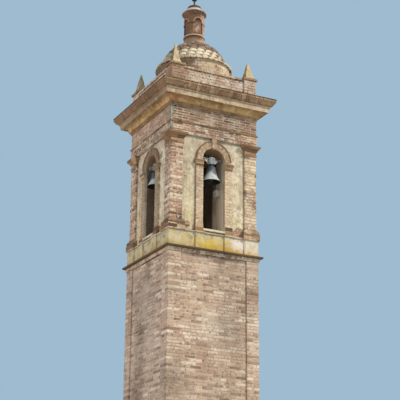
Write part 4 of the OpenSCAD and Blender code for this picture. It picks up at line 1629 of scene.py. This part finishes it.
    def arches(self, site: Site) -> None:
        """Lay the archivolts as rings of rubbed bricks with their keystones."""
        spring = self.spring
        inner, outer = self.opening, self.opening + self.arch_width
        bond = Bond(seed=self.seed + 6, spread=0.45)
        ring = Bond(seed=self.seed + 7, spread=0.5)
        mid = (inner + outer - 0.022) / 2
        rim = outer - 0.011
        for face in Face:
            for i in range(self.arch_bricks):
                angle = math.pi * (i + 0.5) / self.arch_bricks
                if abs(angle - math.pi / 2) < 0.09:
                    continue
                out = self.arch_face + 0.005 + bond.rng.uniform(-0.0015, 0.0015)
                u, z = mid * math.cos(angle), spring + mid * math.sin(angle)
                centre = face.place(u, out - 0.02, z)
                size = (math.pi * (outer - 0.02) / self.arch_bricks - 0.004, 0.04, outer - 0.024 - inner)
                bond.put(centre, size, (0.0, math.pi / 2 - angle, face.turn))
            for i in range(self.fillet_bricks):
                angle = math.pi * (i + 0.5) / self.fillet_bricks
                u, z = rim * math.cos(angle), spring + rim * math.sin(angle)
                centre = face.place(u, self.arch_face + 0.002, z)
                size = (math.pi * outer / self.fillet_bricks - 0.004, 0.032, 0.024)
                ring.put(centre, size, (0.0, math.pi / 2 - angle, face.turn))
            for side in (-1, 1):
                centre = face.place(side * mid, self.arch_face - 0.015, spring - 0.03)
                bond.put(centre, (outer - inner - 0.024, 0.04, 0.052), (0.0, 0.0, face.turn))
        site.lay("arch_bricks", bond, ARCH_BRICK, "pale_brick", Shape.WEDGE)
        site.lay("arch_fillet_bricks", ring, DRIP_BRICK, "pale_brick")
        keys = Blocks(ARCH_BRICK, seed=self.seed + 8)
        low, high = spring + inner - 0.012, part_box("archivolts")[1].z
        for face in Face:
            for a, b in ((0.0, 0.47), (0.5, 1.0)):
                rings = []
                for share in (a, (a + b) / 2, b):
                    wide = 0.0425 + (self.key_rise - 0.0425) * share + 0.002
                    spots = [(-wide, 1.03), (wide, 1.03), (wide, 1.108), (-wide, 1.108)]
                    rings.append([face.place(u, n, low + (high - low) * share) for u, n in spots])
                keys.rings(rings, 0.55)
        site.join("keystones", keys.mesh())

    def lost(self, face: Face, u: float, z: float) -> float:
        """Return how far the stucco is gone at a place: above one, it has fallen."""
        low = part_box("front_belfry_wall")[0].z
        gone = 0.5 + 1.1 * noise.noise(Vector((u * 5 + face.value * 9.0, z * 5, 1.7)))
        gone += 0.75 * max(0.0, 1.0 - (z - low - 0.05) / 0.32)
        if face is Face.FRONT:
            for spot, reach in (((-0.63, 9.12), 0.15), ((0.62, 9.08), 0.15), ((-0.72, 10.2), 0.05)):
                gone += 0.9 * max(0.0, 1.0 - math.dist(spot, (u, z)) / reach)
        return gone

    def stucco(self, site: Site, face: Face) -> None:
        """Coat one face with stucco, fallen away in places over bare brick."""
        low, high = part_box("front_belfry_wall")
        wall = -low.y
        spring = self.spring
        half = high.x + 0.004
        across = round(2 * half / self.coat_cell)
        up = round((high.z - low.z) / self.coat_cell)
        du, dz = 2 * half / across, (high.z - low.z) / up
        kept = set()
        for i in range(across):
            for j in range(up):
                u, z = -half + du * (i + 0.5), low.z + dz * (j + 0.5)
                hidden = abs(u) < 0.425 and z < spring or math.dist((u, z), (0, spring)) < 0.41
                if not hidden and self.lost(face, u, z) < 1.25:
                    kept.add((i, j))
        for i in range(across):
            for j in range(up):
                here, right, over, far = (i, j), (i + 1, j), (i, j + 1), (i + 1, j + 1)
                if (here in kept) == (far in kept) != (right in kept) == (over in kept):
                    kept.update((here, right, over, far) if here in kept or right in kept else ())
        coat = Blocks(STUCCO, wear=0.0, seed=self.seed + face.value)
        index: dict[tuple[int, int, int], int] = {}

        def corner(i: int, j: int, top: int) -> int:
            """Return the number of a grid point of the coat, adding it on the first call."""
            if (i, j, top) not in index:
                index[(i, j, top)] = len(coat.points)
                u, z = -half + du * i, low.z + dz * j
                near = {(i - a, j - b) for a in (0, 1) for b in (0, 1)}
                if not near <= kept and 0 < i < across and 0 < j < up:
                    stray = noise.noise_vector(Vector((u * 40, z * 40, face.value * 5.0)))
                    u, z = u + stray.x * 0.012, z + stray.y * 0.012
                swell = 0.003 * noise.noise(Vector((u * 4, z * 4, face.value * 7.0)))
                coat.points.append(face.place(u, wall + (self.coat + swell if top else -0.012), z))
                coat.tones.append(0.5)
            return index[(i, j, top)]

        for i, j in sorted(kept):
            loop = ((i, j), (i + 1, j), (i + 1, j + 1), (i, j + 1))
            coat.faces.append(tuple(corner(*p, 1) for p in loop))
            coat.faces.append(tuple(corner(*p, 0) for p in reversed(loop)))
            for (di, dj), (a, b) in zip(((0, -1), (1, 0), (0, 1), (-1, 0)), zip(loop, loop[1:] + loop[:1])):
                if (i + di, j + dj) not in kept:
                    coat.faces.append((corner(*b, 1), corner(*a, 1), corner(*a, 0), corner(*b, 0)))
        site.join(f"{face.label}_stucco", coat.mesh(smooth=True))
        bare = Bond(seed=self.seed + 20 + face.value, proud=0.002)
        for course in bare.courses(low.z, high.z):
            for u0, u1 in ((-0.79, -0.455), (0.455, 0.79)):
                bare.stretch(face, u0, u1, wall, course, keep=lambda u, z: self.lost(face, u, z) > 0.9)
        if bare.units:
            site.lay(f"{face.label}_bare_bricks", bare, BRICK, "brick")


@dataclass
class Entablature:
    """The architrave, the frieze, the cornice with its coping, and the corner iron.

    Attributes:
        seed: seed of its draws.
        cove_foot: distance of the cove's foot from the axis.
        cove_head: distance of its head.
    """

    seed: int = 61
    cove_foot: float = 1.157
    cove_head: float = 1.299

    def build(self, site: Site) -> None:
        """Lay the entablature."""
        self.architrave(site)
        frieze = Bond(seed=self.seed + 1, joint=0.014, spread=1.2)
        low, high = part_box("frieze")
        for course in frieze.courses(low.z, high.z, 0.062):
            frieze.ring(high.x, course)
        site.lay("frieze_bricks", frieze, FRIEZE_BRICK, "brick", arris=0.005, wear=0.0025)
        self.cornice(site)
        self.iron(site)
        site.dress(MORTAR, "architrave", "frieze")
        site.dress(OCHRE_RENDER, "cornice")
        site.dress(IRON, "corner_iron")

    def architrave(self, site: Site) -> None:
        """Lay the architrave as courses of brick under a projecting band."""
        low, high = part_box("architrave")
        body = Bond(seed=self.seed + 2)
        top = high.z - 0.04
        body.ring(-low.x - 0.03, (0, low.z + 0.036, 0.07))
        for course in body.courses(low.z + 0.074, top, 0.057):
            body.ring(high.x - 0.02, course)
        site.lay("architrave_bricks", body, BRICK, "brick", wear=0.0025)
        band = Blocks(DRIP_BRICK, seed=self.seed + 3)
        out = 0.0245
        part = [(0.0, top + 0.004), (out, top + 0.008), (out, high.z - 0.006), (0.015, high.z + 0.002)]
        band.run(square(high.x - 0.02), part, 0.15, joint=0.008, closed=True)
        site.join("architrave_band", band.mesh())

    def cornice(self, site: Site) -> None:
        """Lay the cornice: brick beds, a rendered cove, a fascia, a cyma and the coping."""
        section = site.section("cornice", 1.05)
        base, low = section[0]
        path = square(base)
        beds = Blocks(BROWN_BRICK, seed=self.seed + 4, spread=0.5)
        for a, b in ((0.0, 0.028), (0.03, 0.053), (0.056, 0.0765)):
            part = above(section, low + a - 0.001, low + b, base, 0.004)
            beds.run(path, part, 0.15, joint=0.008, closed=True)
        site.join("cornice_beds", beds.mesh())
        cove = Blocks(OCHRE_RENDER, wear_width=0.15, seed=self.seed + 5)
        start, end = (
            next(i for i, p in enumerate(section) if abs(p[0] - out) < 2e-3)
            for out in (self.cove_foot, self.cove_head)
        )
        arc = [(n - base + 0.004, z - 0.004) for n, z in section[start : end + 1]]
        arc.append((arc[-1][0] + 0.002, arc[-1][1] + 0.01))
        cove.run(path, arc, 3.0, joint=0.0, closed=True, cuts=40)
        site.join("cornice_cove", cove.mesh(smooth=True))
        over = section[end + 1 :]
        rows = Blocks(JAMB_BRICK, seed=self.seed + 6, spread=0.3)
        fascia = above(over, low, low + 0.2849, base, 0.003)
        rows.run(path, fascia, 0.29, joint=0.005, closed=True, back=-0.15, cuts=2)
        fillet = above(over, low + 0.2875, low + 0.3225, base, 0.003)
        rows.run(path, fillet, 0.2, joint=0.005, closed=True, back=-0.15)
        site.join("cornice_fascia", rows.mesh())
        cyma = Blocks(BROWN_BRICK, wear=0.004, seed=self.seed + 7, spread=0.5)
        curl = above(over, low + 0.3246, math.inf, base, 0.002)
        cyma.run(path, curl, 0.12, joint=0.014, closed=True, back=-0.15)
        site.join("cornice_cyma", cyma.mesh())
        edge_low, edge_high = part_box("cornice_coping")
        lip = edge_high.x
        foot, head = edge_low.z, edge_high.z
        tiles = Blocks(COPING_TILE, seed=self.seed + 8, spread=0.7)
        bed = [(lip - 0.03 - base, foot), (lip - 0.03 - base, foot + 0.02), (1.094 - base, head - 0.004)]
        tiles.run(path, bed, 3.0, joint=0.0, closed=True, back=0.01, shift=0.0)
        # The bed under the coping's edge takes the darkest tone: painted shade under the edge.
        tiles.tones = [0.0] * len(tiles.tones)
        edge = [(lip - 0.014, 0.007), (lip - 0.003, 0.012), (lip - 0.003, 0.026)]
        slab = [(n - base, foot + z) for n, z in edge] + [(1.098 - base, head)]
        tiles.run(path, slab, 0.21, joint=0.005, closed=True, back=0.01, shift=0.001)
        site.join("coping_tiles", tiles.mesh(), replaces=["cornice_coping"])

    def iron(self, site: Site) -> None:
        """Bolt the corner iron to the frieze."""
        low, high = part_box("corner_iron")
        bolts = Bond(seed=self.seed + 9)
        size = (0.02, 0.014, 0.02)
        for share in (0.05, 0.28, 0.52, 0.76, 0.95):
            z = low.z + (high.z - low.z) * share
            bolts.put((low.x + 0.03, low.y - 0.001, z), size, (0, 0, 0), 0.3)
            bolts.put((low.x - 0.001, low.y + 0.03, z - 0.03), size, (0.0, 0.0, -math.pi / 2), 0.3)
        site.lay("corner_iron_bolts", bolts, DARK_METAL, "weathered_iron", Shape.BOLT, 0.0, 0.0)


@dataclass
class Attic:
    """The attic: parapets between pedestals, their copings and the four pinnacles.

    Attributes:
        seed: seed of its draws.
        pedestal: width of a corner pedestal.
    """

    seed: int = 81
    pedestal: float = 0.3

    def build(self, site: Site) -> None:
        """Lay the attic."""
        low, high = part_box("attic_pedestals")
        bond = Bond(seed=self.seed, spread=0.35)
        for course in bond.courses(low.z, high.z):
            bond.pier(high.x, self.pedestal, course)
        site.lay("attic_pedestal_bricks", bond, LIMED_BRICK, "brick", arris=0.006, wear=0.003)
        wall_low, wall_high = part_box("parapets")
        walls = Bond(seed=self.seed + 1, spread=0.35)
        inner = high.x - self.pedestal
        for course in walls.courses(wall_low.z, wall_high.z):
            for face in Face:
                walls.stretch(face, -inner, inner, wall_high.x, course, depth=0.14)
        site.lay("parapet_bricks", walls, LIMED_BRICK, "pale_brick", arris=0.005, wear=0.0025)
        self.copings(site)
        self.pinnacles(site)
        site.dress(LIMED_BRICK, "attic_pedestals", "parapets", "attic_copings")
        site.dress(OCHRE_STONE, "pinnacles")

    def copings(self, site: Site) -> None:
        """Lay the coping tiles over the pedestals and the parapets."""
        low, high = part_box("attic_copings")
        mid = high.z - 0.045
        near, far = high.x - 0.364 - 0.003, high.x + 0.003
        blocks = Blocks(BROWN_BRICK, wear=0.004, seed=self.seed + 2)
        tops = Blocks(RUBBED_BRICK, wear=0.004, seed=self.seed + 3)
        count = 6
        wide = 2 * (high.x - 0.332) / count
        for face in Face:
            blocks.box((near, near, mid - 0.001), (far, far, high.z + 0.002), 0.06, 0.6, face)
            for i in range(count):
                u = -(high.x - 0.332) + wide * i
                far_end = (u + wide - 0.003, 1.096, mid + 0.002)
                tops.box((u + 0.003, 0.915, low.z - 0.001), far_end, 0.05, face=face)
        site.join("pedestal_copings", blocks.mesh())
        site.join("parapet_copings", tops.mesh())

    def pinnacles(self, site: Site) -> None:
        """Carve the four pinnacles, worn and chipped."""
        spots = [
            (v.co.x, round(v.co.z, 4))
            for v in site.frame["nodes"]["pinnacles"].data.vertices
            if v.co.x > 0 and v.co.y > 0
        ]
        heights = sorted({z for _, z in spots})
        outer = {z: max(x for x, height in spots if height == z) for z in heights}
        middle = (outer[heights[0]] + min(x for x, z in spots if z == heights[0])) / 2
        stone = Blocks(OCHRE_STONE, wear=0.008, wear_width=0.09, seed=self.seed + 4)
        corners = [(-1, -1), (1, -1), (1, 1), (-1, 1), (-1, -1)]
        for face in Face:
            slim, tall = {Face.LEFT: (0.86, 1.0), Face.FRONT: (0.97, 0.87)}.get(face, (0.985, 0.97))
            rings = []
            for z0, z1 in zip(heights, heights[1:]):
                steps = max(1, round((z1 - z0) / 0.035))
                for i in range(steps + (z1 == heights[-1])):
                    half = (outer[z0] + (outer[z1] - outer[z0]) * i / steps - middle) * slim
                    ring = []
                    z = z0 + (z1 - z0) * i / steps
                    for (a, b), (c, d) in zip(corners, corners[1:]):
                        for t in (0.0, 1 / 3, 2 / 3):
                            u, n = middle + half * (a + (c - a) * t), middle + half * (b + (d - b) * t)
                            ring.append(face.place(u, n, heights[0] + (z - heights[0]) * tall))
                    rings.append(ring)
            stone.rings(rings, 0.5)
        site.join("pinnacle_stones", stone.mesh(), replaces=["pinnacles"])


@dataclass
class Dome:
    """The drum, the eave and the tiled dome.

    Attributes:
        seed: seed of its draws.
        tile_width: width of a tile with its joint.
        tile_thickness: how thick a tile is.
        radius: radius of the dome.
        drop: how far the middle of the dome's sphere lies under the eave's top.
        lantern_foot: radius at which the tiles end under the lantern.
        courses: number of courses of tiles.
        pale_courses: how many courses, from the eave, are wide, steep and pale with painted light.
        eave_tiles: number of tiles round the eave.
    """

    seed: int = 101
    tile_width: float = 0.21
    tile_thickness: float = 0.026
    radius: float = 0.775
    drop: float = 0.09
    lantern_foot: float = 0.252
    courses: int = 9
    pale_courses: int = 3
    eave_tiles: int = 40

    def build(self, site: Site) -> None:
        """Lay the drum's bricks, the eave ring and the dome's tiles."""
        low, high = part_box("drum")
        bond = Bond(seed=self.seed, joint=0.011, spread=0.6, proud=0.003)
        for course in bond.courses(low.z, high.z):
            bond.round(high.x, course)
        site.lay("drum_bricks", bond, DRUM_BRICK, "brick", wear=0.003)
        eave_low, eave_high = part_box("dome_eave")
        ring = Bond(seed=self.seed + 1)
        out = eave_high.x + 0.003 - 0.04
        size = (math.tau * out / self.eave_tiles - 0.006, 0.08, eave_high.z - eave_low.z + 0.002)
        level = (eave_low.z + eave_high.z) / 2
        for i in range(self.eave_tiles):
            ring.stand(out, math.tau * i / self.eave_tiles, level, size, ring.rng.uniform(0.9, 1.0))
        site.lay("eave_tiles", ring, ROOF_TILE, "roof_tile", arris=0.006, wear=0.003)
        self.tiles(site)
        site.dress(DRUM_BRICK, "drum")
        # The bare dome has no tone and takes the darkest shade: painted shade between the tiles.
        site.dress(DOME_TILE, "dome")
        site.dress(ROOF_TILE, "dome_eave")

    def tiles(self, site: Site) -> None:
        """Lay the dome's tiles course over course, each above the pale courses on a lump of mortar."""
        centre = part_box("dome_eave")[1].z - self.drop
        start = math.asin(self.drop / self.radius)
        end = math.acos(self.lantern_foot / self.radius)
        step = (end - start) / self.courses
        tiles = Bond(seed=self.seed + 2)
        lumps = Bond(seed=self.seed + 3)
        length = self.radius * step * 1.12
        for row in range(self.courses):
            pale = row < self.pale_courses
            tilt = 0.22 if pale else 0.1
            lift = start + step * (row + 0.5)
            count = max(8, round(math.tau * self.radius * math.cos(lift) / self.tile_width))
            wide = math.tau * self.radius * math.cos(lift - step * 0.4) / count
            size = (wide - (0.0 if pale else 0.01), length, self.tile_thickness)
            for i in range(count):
                angle = math.tau * (i + 0.5 * (row % 2) + tiles.rng.uniform(-0.05, 0.05)) / count
                out = Vector(polar(math.cos(lift), angle, math.sin(lift)))
                up = Vector(polar(-math.sin(lift), angle, math.cos(lift)))
                tip = up * math.cos(tilt) - out * math.sin(tilt)
                face = out * math.cos(tilt) + up * math.sin(tilt)
                turn = tuple(Matrix((tip.cross(face), tip, face)).transposed().to_euler())
                at = Vector((0, 0, centre)) + out * (self.radius + 0.01)
                # The pale courses' tones are painted light on their lit butts.
                shade = tiles.rng.uniform(0.8, 1.0) if pale else tiles.tone() * 0.5 + 0.05
                tiles.put(tuple(at), size, turn, shade)
                if not pale:
                    butt = at - tip * (length * 0.5 - 0.026) - face * 0.016
                    lumps.put(tuple(butt), (wide - 0.03, 0.055, 0.036), turn, lumps.rng.uniform(0.2, 0.9))
        site.lay("dome_tiles", tiles, DOME_TILE, "roof_tile", Shape.TILE, 0.0, 0.003)
        site.lay("dome_bedding", lumps, BEDDING, "roof_tile", Shape.TILE, 0.0, 0.003)


@dataclass
class Lantern:
    """The blind lantern: foot, niched shaft, cornice, cap and finial.

    Attributes:
        seed: seed of its draws.
        radius: radius of its shaft.
        niche: half width of a niche with its arch.
        niche_arch: radius of the middle of a niche's arch.
        brick: depth of a brick stood on end.
    """

    seed: int = 121
    radius: float = 0.244
    niche: float = 0.105
    niche_arch: float = 0.127
    brick: float = 0.024

    def build(self, site: Site) -> None:
        """Dress the lantern."""
        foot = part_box("lantern")[0].z
        reeds = Bond(seed=self.seed)
        spread = math.pi / 4 - math.asin(self.niche / self.radius)
        out = self.radius + 0.004 - self.brick / 2
        for quarter in range(4):
            middle = quarter * math.pi / 2 + math.pi / 4
            for i in range(4):
                angle = middle + spread * 2 * ((i + 0.5) / 4 - 0.5) * 0.96
                for j in range(2):
                    reeds.stand(out, angle, foot + 0.01 + (j + 0.5) * 0.148, (0.034, self.brick, 0.142))
                reeds.stand(out, angle, foot + 0.45, (0.034, self.brick, 0.2))
        site.lay("lantern_reeds", reeds, LANTERN_BRICK, "brick")
        arches = Bond(seed=self.seed + 1)
        spring = foot + 0.336
        for quarter in range(4):
            for i in range(9):
                angle = math.pi * (i + 0.5) / 9
                bearing = quarter * math.pi / 2 + self.niche_arch * math.cos(angle) / self.radius
                at = polar(out, bearing, spring + self.niche_arch * math.sin(angle))
                round_z = Matrix.Rotation(bearing + math.pi / 2, 3, "Z")
                lean = round_z @ Matrix.Rotation(math.pi / 2 - angle, 3, "Y")
                arches.put(at, (0.042, 0.03, 0.04), tuple(lean.to_euler()), arches.rng.uniform(0.6, 0.95))
        site.lay("niche_arch_bricks", arches, NICHE_BRICK, "brick", Shape.WEDGE, arris=0.003)
        dentils = Bond(seed=self.seed + 2)
        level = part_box("lantern_cornice")[0].z + 0.074
        count = 27
        size = (0.05, self.brick, 0.032)
        for i in range(count):
            dentils.stand(0.301 - self.brick / 2, math.tau * i / count, level, size)
        site.lay("lantern_dentils", dentils, DRIP_BRICK, "brick", arris=0.003)
        site.dress(LANTERN_BRICK, "lantern_foot", "lantern")
        site.dress(CROWN, "lantern_cornice")
        site.dress(DARK_METAL, "lantern_cap", "finial")


@dataclass
class Bell:
    """A bell with its headstock and clapper.

    Attributes:
        side: name of the bell's side, which names its nodes and bodies.
        face: the face that it hangs in.
        segments: number of points round the bell.
        axle_inset: distance of its axle from the tower's axis.
        shoulder: radius of the shoulder as a share of the mouth's width.
        height: height to the shoulder as a share of the mouth's width.
        wall: thickness of its wall.
        crown: radius of the crown's boss.
        boss: height of that boss.
        wires: height and relief of the thin rings round the bell.
    """

    side: str
    face: Face
    segments: int = 72
    axle_inset: float = 0.945
    shoulder: float = 0.25
    height: float = 0.77
    wall: float = 0.015
    crown: float = 0.044
    boss: float = 0.056
    wires: tuple[Plan, ...] = (
        (0.045, 0.0015),
        (0.14, 0.0025),
        (0.2, 0.002),
        (0.86, 0.0022),
        (0.93, 0.0022),
    )

    def outline(self, diameter: float, lip: float) -> list[tuple[float, float]]:
        """Return the bell's section outside and inside, from the lip up and back down.

        Args:
            diameter: width of the mouth.
            lip: height of the lip.

        Returns:
            Radius and height of each point.
        """
        high = self.height * diameter
        top = lip + high
        steps = 26

        def outside(share: float) -> float:
            """Return the radius outside at a share of the height."""
            return diameter * (self.shoulder + (0.5 - self.shoulder) * (1 - share) ** 2.1)

        points = [(diameter * 0.5 - 0.012, lip), (diameter * 0.5 - 0.002, lip + 0.003)]
        for i in range(1, steps + 1):
            share = i / steps
            radius = outside(share)
            for wire, proud in self.wires:
                if abs(share - wire) < 0.5 / steps:
                    radius += proud
            points.append((radius - 0.001, lip + high * share))
        shoulder, cap = diameter * self.shoulder, diameter * 0.085
        for angle in (15, 30, 45, 60, 75, 90):
            a = math.radians(angle)
            points.append((self.crown + (shoulder - self.crown) * math.cos(a), top + cap * math.sin(a)))
        head = top + cap + self.boss
        points += [(self.crown, head), (0.0, head), (0.0, top + cap - 0.016)]
        for angle in (70, 45, 20):
            a = math.radians(angle)
            points.append(((shoulder - self.wall) * math.cos(a), top + (cap - self.wall) * math.sin(a)))
        for i in range(steps, -1, -1):
            share = i / steps
            points.append((outside(share) - self.wall - 0.011 * (1 - share) ** 3, lip + high * share))
        return points

    def build(self, site: Site) -> None:
        """Cast the bell and dress what it hangs from."""
        node = f"{self.side}_bell"
        low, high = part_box(node)
        centre = ((low.x + high.x) / 2, (low.y + high.y) / 2)
        bell = Blocks(BRONZE, wear=0.0)
        loops = []
        for radius, z in self.outline(high.x - low.x, low.z):
            count = self.segments if radius else 1
            start = len(bell.points)
            loops.append([start + i % count for i in range(self.segments)])
            for i in range(count):
                x, y, _ = polar(radius, math.tau * i / self.segments, z)
                bell.points.append((centre[0] + x, centre[1] + y, z))
                bell.tones.append(0.5)
        for lower, upper in zip(loops, loops[1:] + loops[:1]):
            for i in range(self.segments):
                k = (i + 1) % self.segments
                corners = tuple(dict.fromkeys((lower[i], lower[k], upper[k], upper[i])))
                if len(corners) > 2:
                    bell.faces.append(corners)
        front = self.face is Face.FRONT
        wide, deep = (0.003, 0.015) if front else (0.015, 0.003)
        for shift in (-0.015, 0.015):
            x, y = (centre[0] + shift, centre[1]) if front else (centre[0], centre[1] + shift)
            ring = [(x - wide, y - deep), (x + wide, y - deep), (x + wide, y + deep), (x - wide, y + deep)]
            levels = (high.z - 0.095 - 0.015, high.z - 0.072)
            bell.rings([[(*spot, z) for spot in ring] for z in levels], 0.5)
        site.join(f"{node}_casting", bell.mesh(smooth=True), node, [node])
        site.dress(PAINTED_STEEL, f"{self.side}_headstock")
        site.dress(DARK_METAL, f"{self.side}_clapper")
        self.straps(site)

    def straps(self, site: Site) -> None:
        """Bolt the straps that hold the bell to its headstock."""
        low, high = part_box(f"{self.side}_headstock")
        n = self.axle_inset
        depth = (high.y - low.y) / 2 if self.face is Face.FRONT else (high.x - low.x) / 2
        body = f"{self.side}_bell"
        straps = Blocks(PAINTED_STEEL, wear=0.0, seed=2)
        bolts = Bond(seed=5)
        for u in (-0.036, 0.036):
            for front in (1, -1):
                out = n + front * depth
                a, b = sorted((out - front * 0.002, out + front * 0.006))
                foot, head = (u - 0.014, a, low.z + 0.004), (u + 0.014, b, high.z - 0.022)
                straps.box(foot, head, 0.05, 0.5, self.face)
                turn = self.face.turn + (0.0 if front > 0 else math.pi)
                for z in (low.z + 0.022, high.z - 0.045):
                    at = self.face.place(u, out + front * 0.009, z)
                    bolts.put(at, (0.016, 0.01, 0.016), (0, 0, turn), 0.5)
        site.join(f"{body}_straps", straps.mesh(), body)
        ears = Blocks(PALE_STONE, wear=0.0, seed=3)
        axle = low.z + 0.13
        shape = [(0.072, axle - 0.024), (0.17, axle - 0.024), (0.17, axle - 0.04), (0.072, axle - 0.125)]
        for side in (-1, 1):
            rings = [[self.face.place(side * u, n + y, z) for u, z in shape] for y in (-0.006, 0.006)]
            ears.rings(rings, 0.5)
        site.join(f"{self.side}_headstock_ears", ears.mesh(), body)
        name = f"{self.side}_strap_bolts"
        site.lay(name, bolts, IRON, "headstock_steel", Shape.BOLT, 0.0, 0.0, body=body)


@dataclass(frozen=True)
class Viewpoint:
    """The photograph's point of view, fitted to the frame."""

    place: Point = (-11.109, -22.194, 1.600)
    yaw: float = 27.0118
    pitch: float = 18.8732
    roll: float = 0.5225
    lens: float = 101.03

    def build(self) -> None:
        """Add the camera and make it the scene's."""
        yaw, pitch, roll = (math.radians(v) for v in (self.yaw, self.pitch, self.roll))
        ahead = Vector((math.sin(yaw) * math.cos(pitch), math.cos(yaw) * math.cos(pitch), math.sin(pitch)))
        right = Vector((math.cos(yaw), -math.sin(yaw), 0.0))
        up = right.cross(ahead)
        side = right * math.cos(roll) + up * math.sin(roll)
        top = up * math.cos(roll) - right * math.sin(roll)
        data = bpy.data.cameras.new("viewpoint")
        data.lens = self.lens
        data.sensor_width = 36.0
        data.clip_end = 2000.0
        camera = link("viewpoint", data)
        turn = Matrix((side, top, -ahead)).transposed().to_4x4()
        camera.matrix_world = Matrix.Translation(self.place) @ turn
        bpy.context.scene.camera = camera


@dataclass(frozen=True)
class Studio:
    """The floor and the light."""

    floor_half: float = 700.0
    sky: str = "#9ebbcf"

    def build(self) -> None:
        """Lay the floor, light the sky and hang the lamps."""
        mesh = bpy.data.meshes.new("floor")
        mesh.from_pydata([(x, y, 0) for x, y in square(self.floor_half)], [], [(0, 1, 2, 3)])
        material = bpy.data.materials.new("pale_studio_floor")
        material.use_nodes = True
        shader = material.node_tree.nodes["Principled BSDF"]
        shader.inputs["Base Color"].default_value = linear("#cfcbc4")
        shader.inputs["Roughness"].default_value = 0.9
        mesh.materials.append(material)
        link("floor", mesh)
        world = bpy.data.worlds.new("sky")
        world.use_nodes = True
        world.node_tree.nodes.clear()
        back = add(world.node_tree, "ShaderNodeBackground", {"Color": linear(self.sky), "Strength": 1.0})
        add(world.node_tree, "ShaderNodeOutputWorld", {"Surface": back})
        bpy.context.scene.world = world
        bpy.context.scene.view_settings.view_transform = "Standard"
        self.lamp("key", 3.2, "#fff0da", 42.0, 42.0, 8.0)
        self.lamp("fill", 1.25, "#ffe0cd", -80.0, 12.0, 50.0)

    @staticmethod
    def lamp(name: str, strength: float, colour: str, azimuth: float, height: float, spread: float) -> None:
        """Hang a distant soft lamp.

        Args:
            name: its name.
            strength: its irradiance.
            colour: its sRGB colour.
            azimuth: degrees to the right of the front face's normal.
            height: degrees above the ground.
            spread: how wide it is, in degrees.
        """
        data = bpy.data.lights.new(name, "SUN")
        data.energy = strength
        data.color = linear(colour)[:3]
        data.angle = math.radians(spread)
        a, h = math.radians(azimuth), math.radians(height)
        source = Vector((math.sin(a) * math.cos(h), -math.cos(a) * math.cos(h), math.sin(h)))
        link(name, data).rotation_euler = source.to_track_quat("Z", "Y").to_euler()


def main() -> None:
    """Build the tower's dress in order."""
    logging.basicConfig(level=logging.INFO, format="%(message)s", force=True)
    noise.seed_set(NOISE_SEED)
    site = Site(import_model())
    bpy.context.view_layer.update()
    Viewpoint().build()
    Studio().build()
    for part in (Shaft(), Belfry(), Entablature(), Attic(), Dome(), Lantern()):
        LOG.info("building %s", type(part).__name__)
        part.build(site)
    for bell in (Bell("front", Face.FRONT), Bell("left", Face.LEFT)):
        bell.build(site)
    site.dress(IRON, "bell_bearings")
    site.dress(CASING, "bell_motor")
    site.prototypes.clear()


if __name__ == "__main__":
    main()
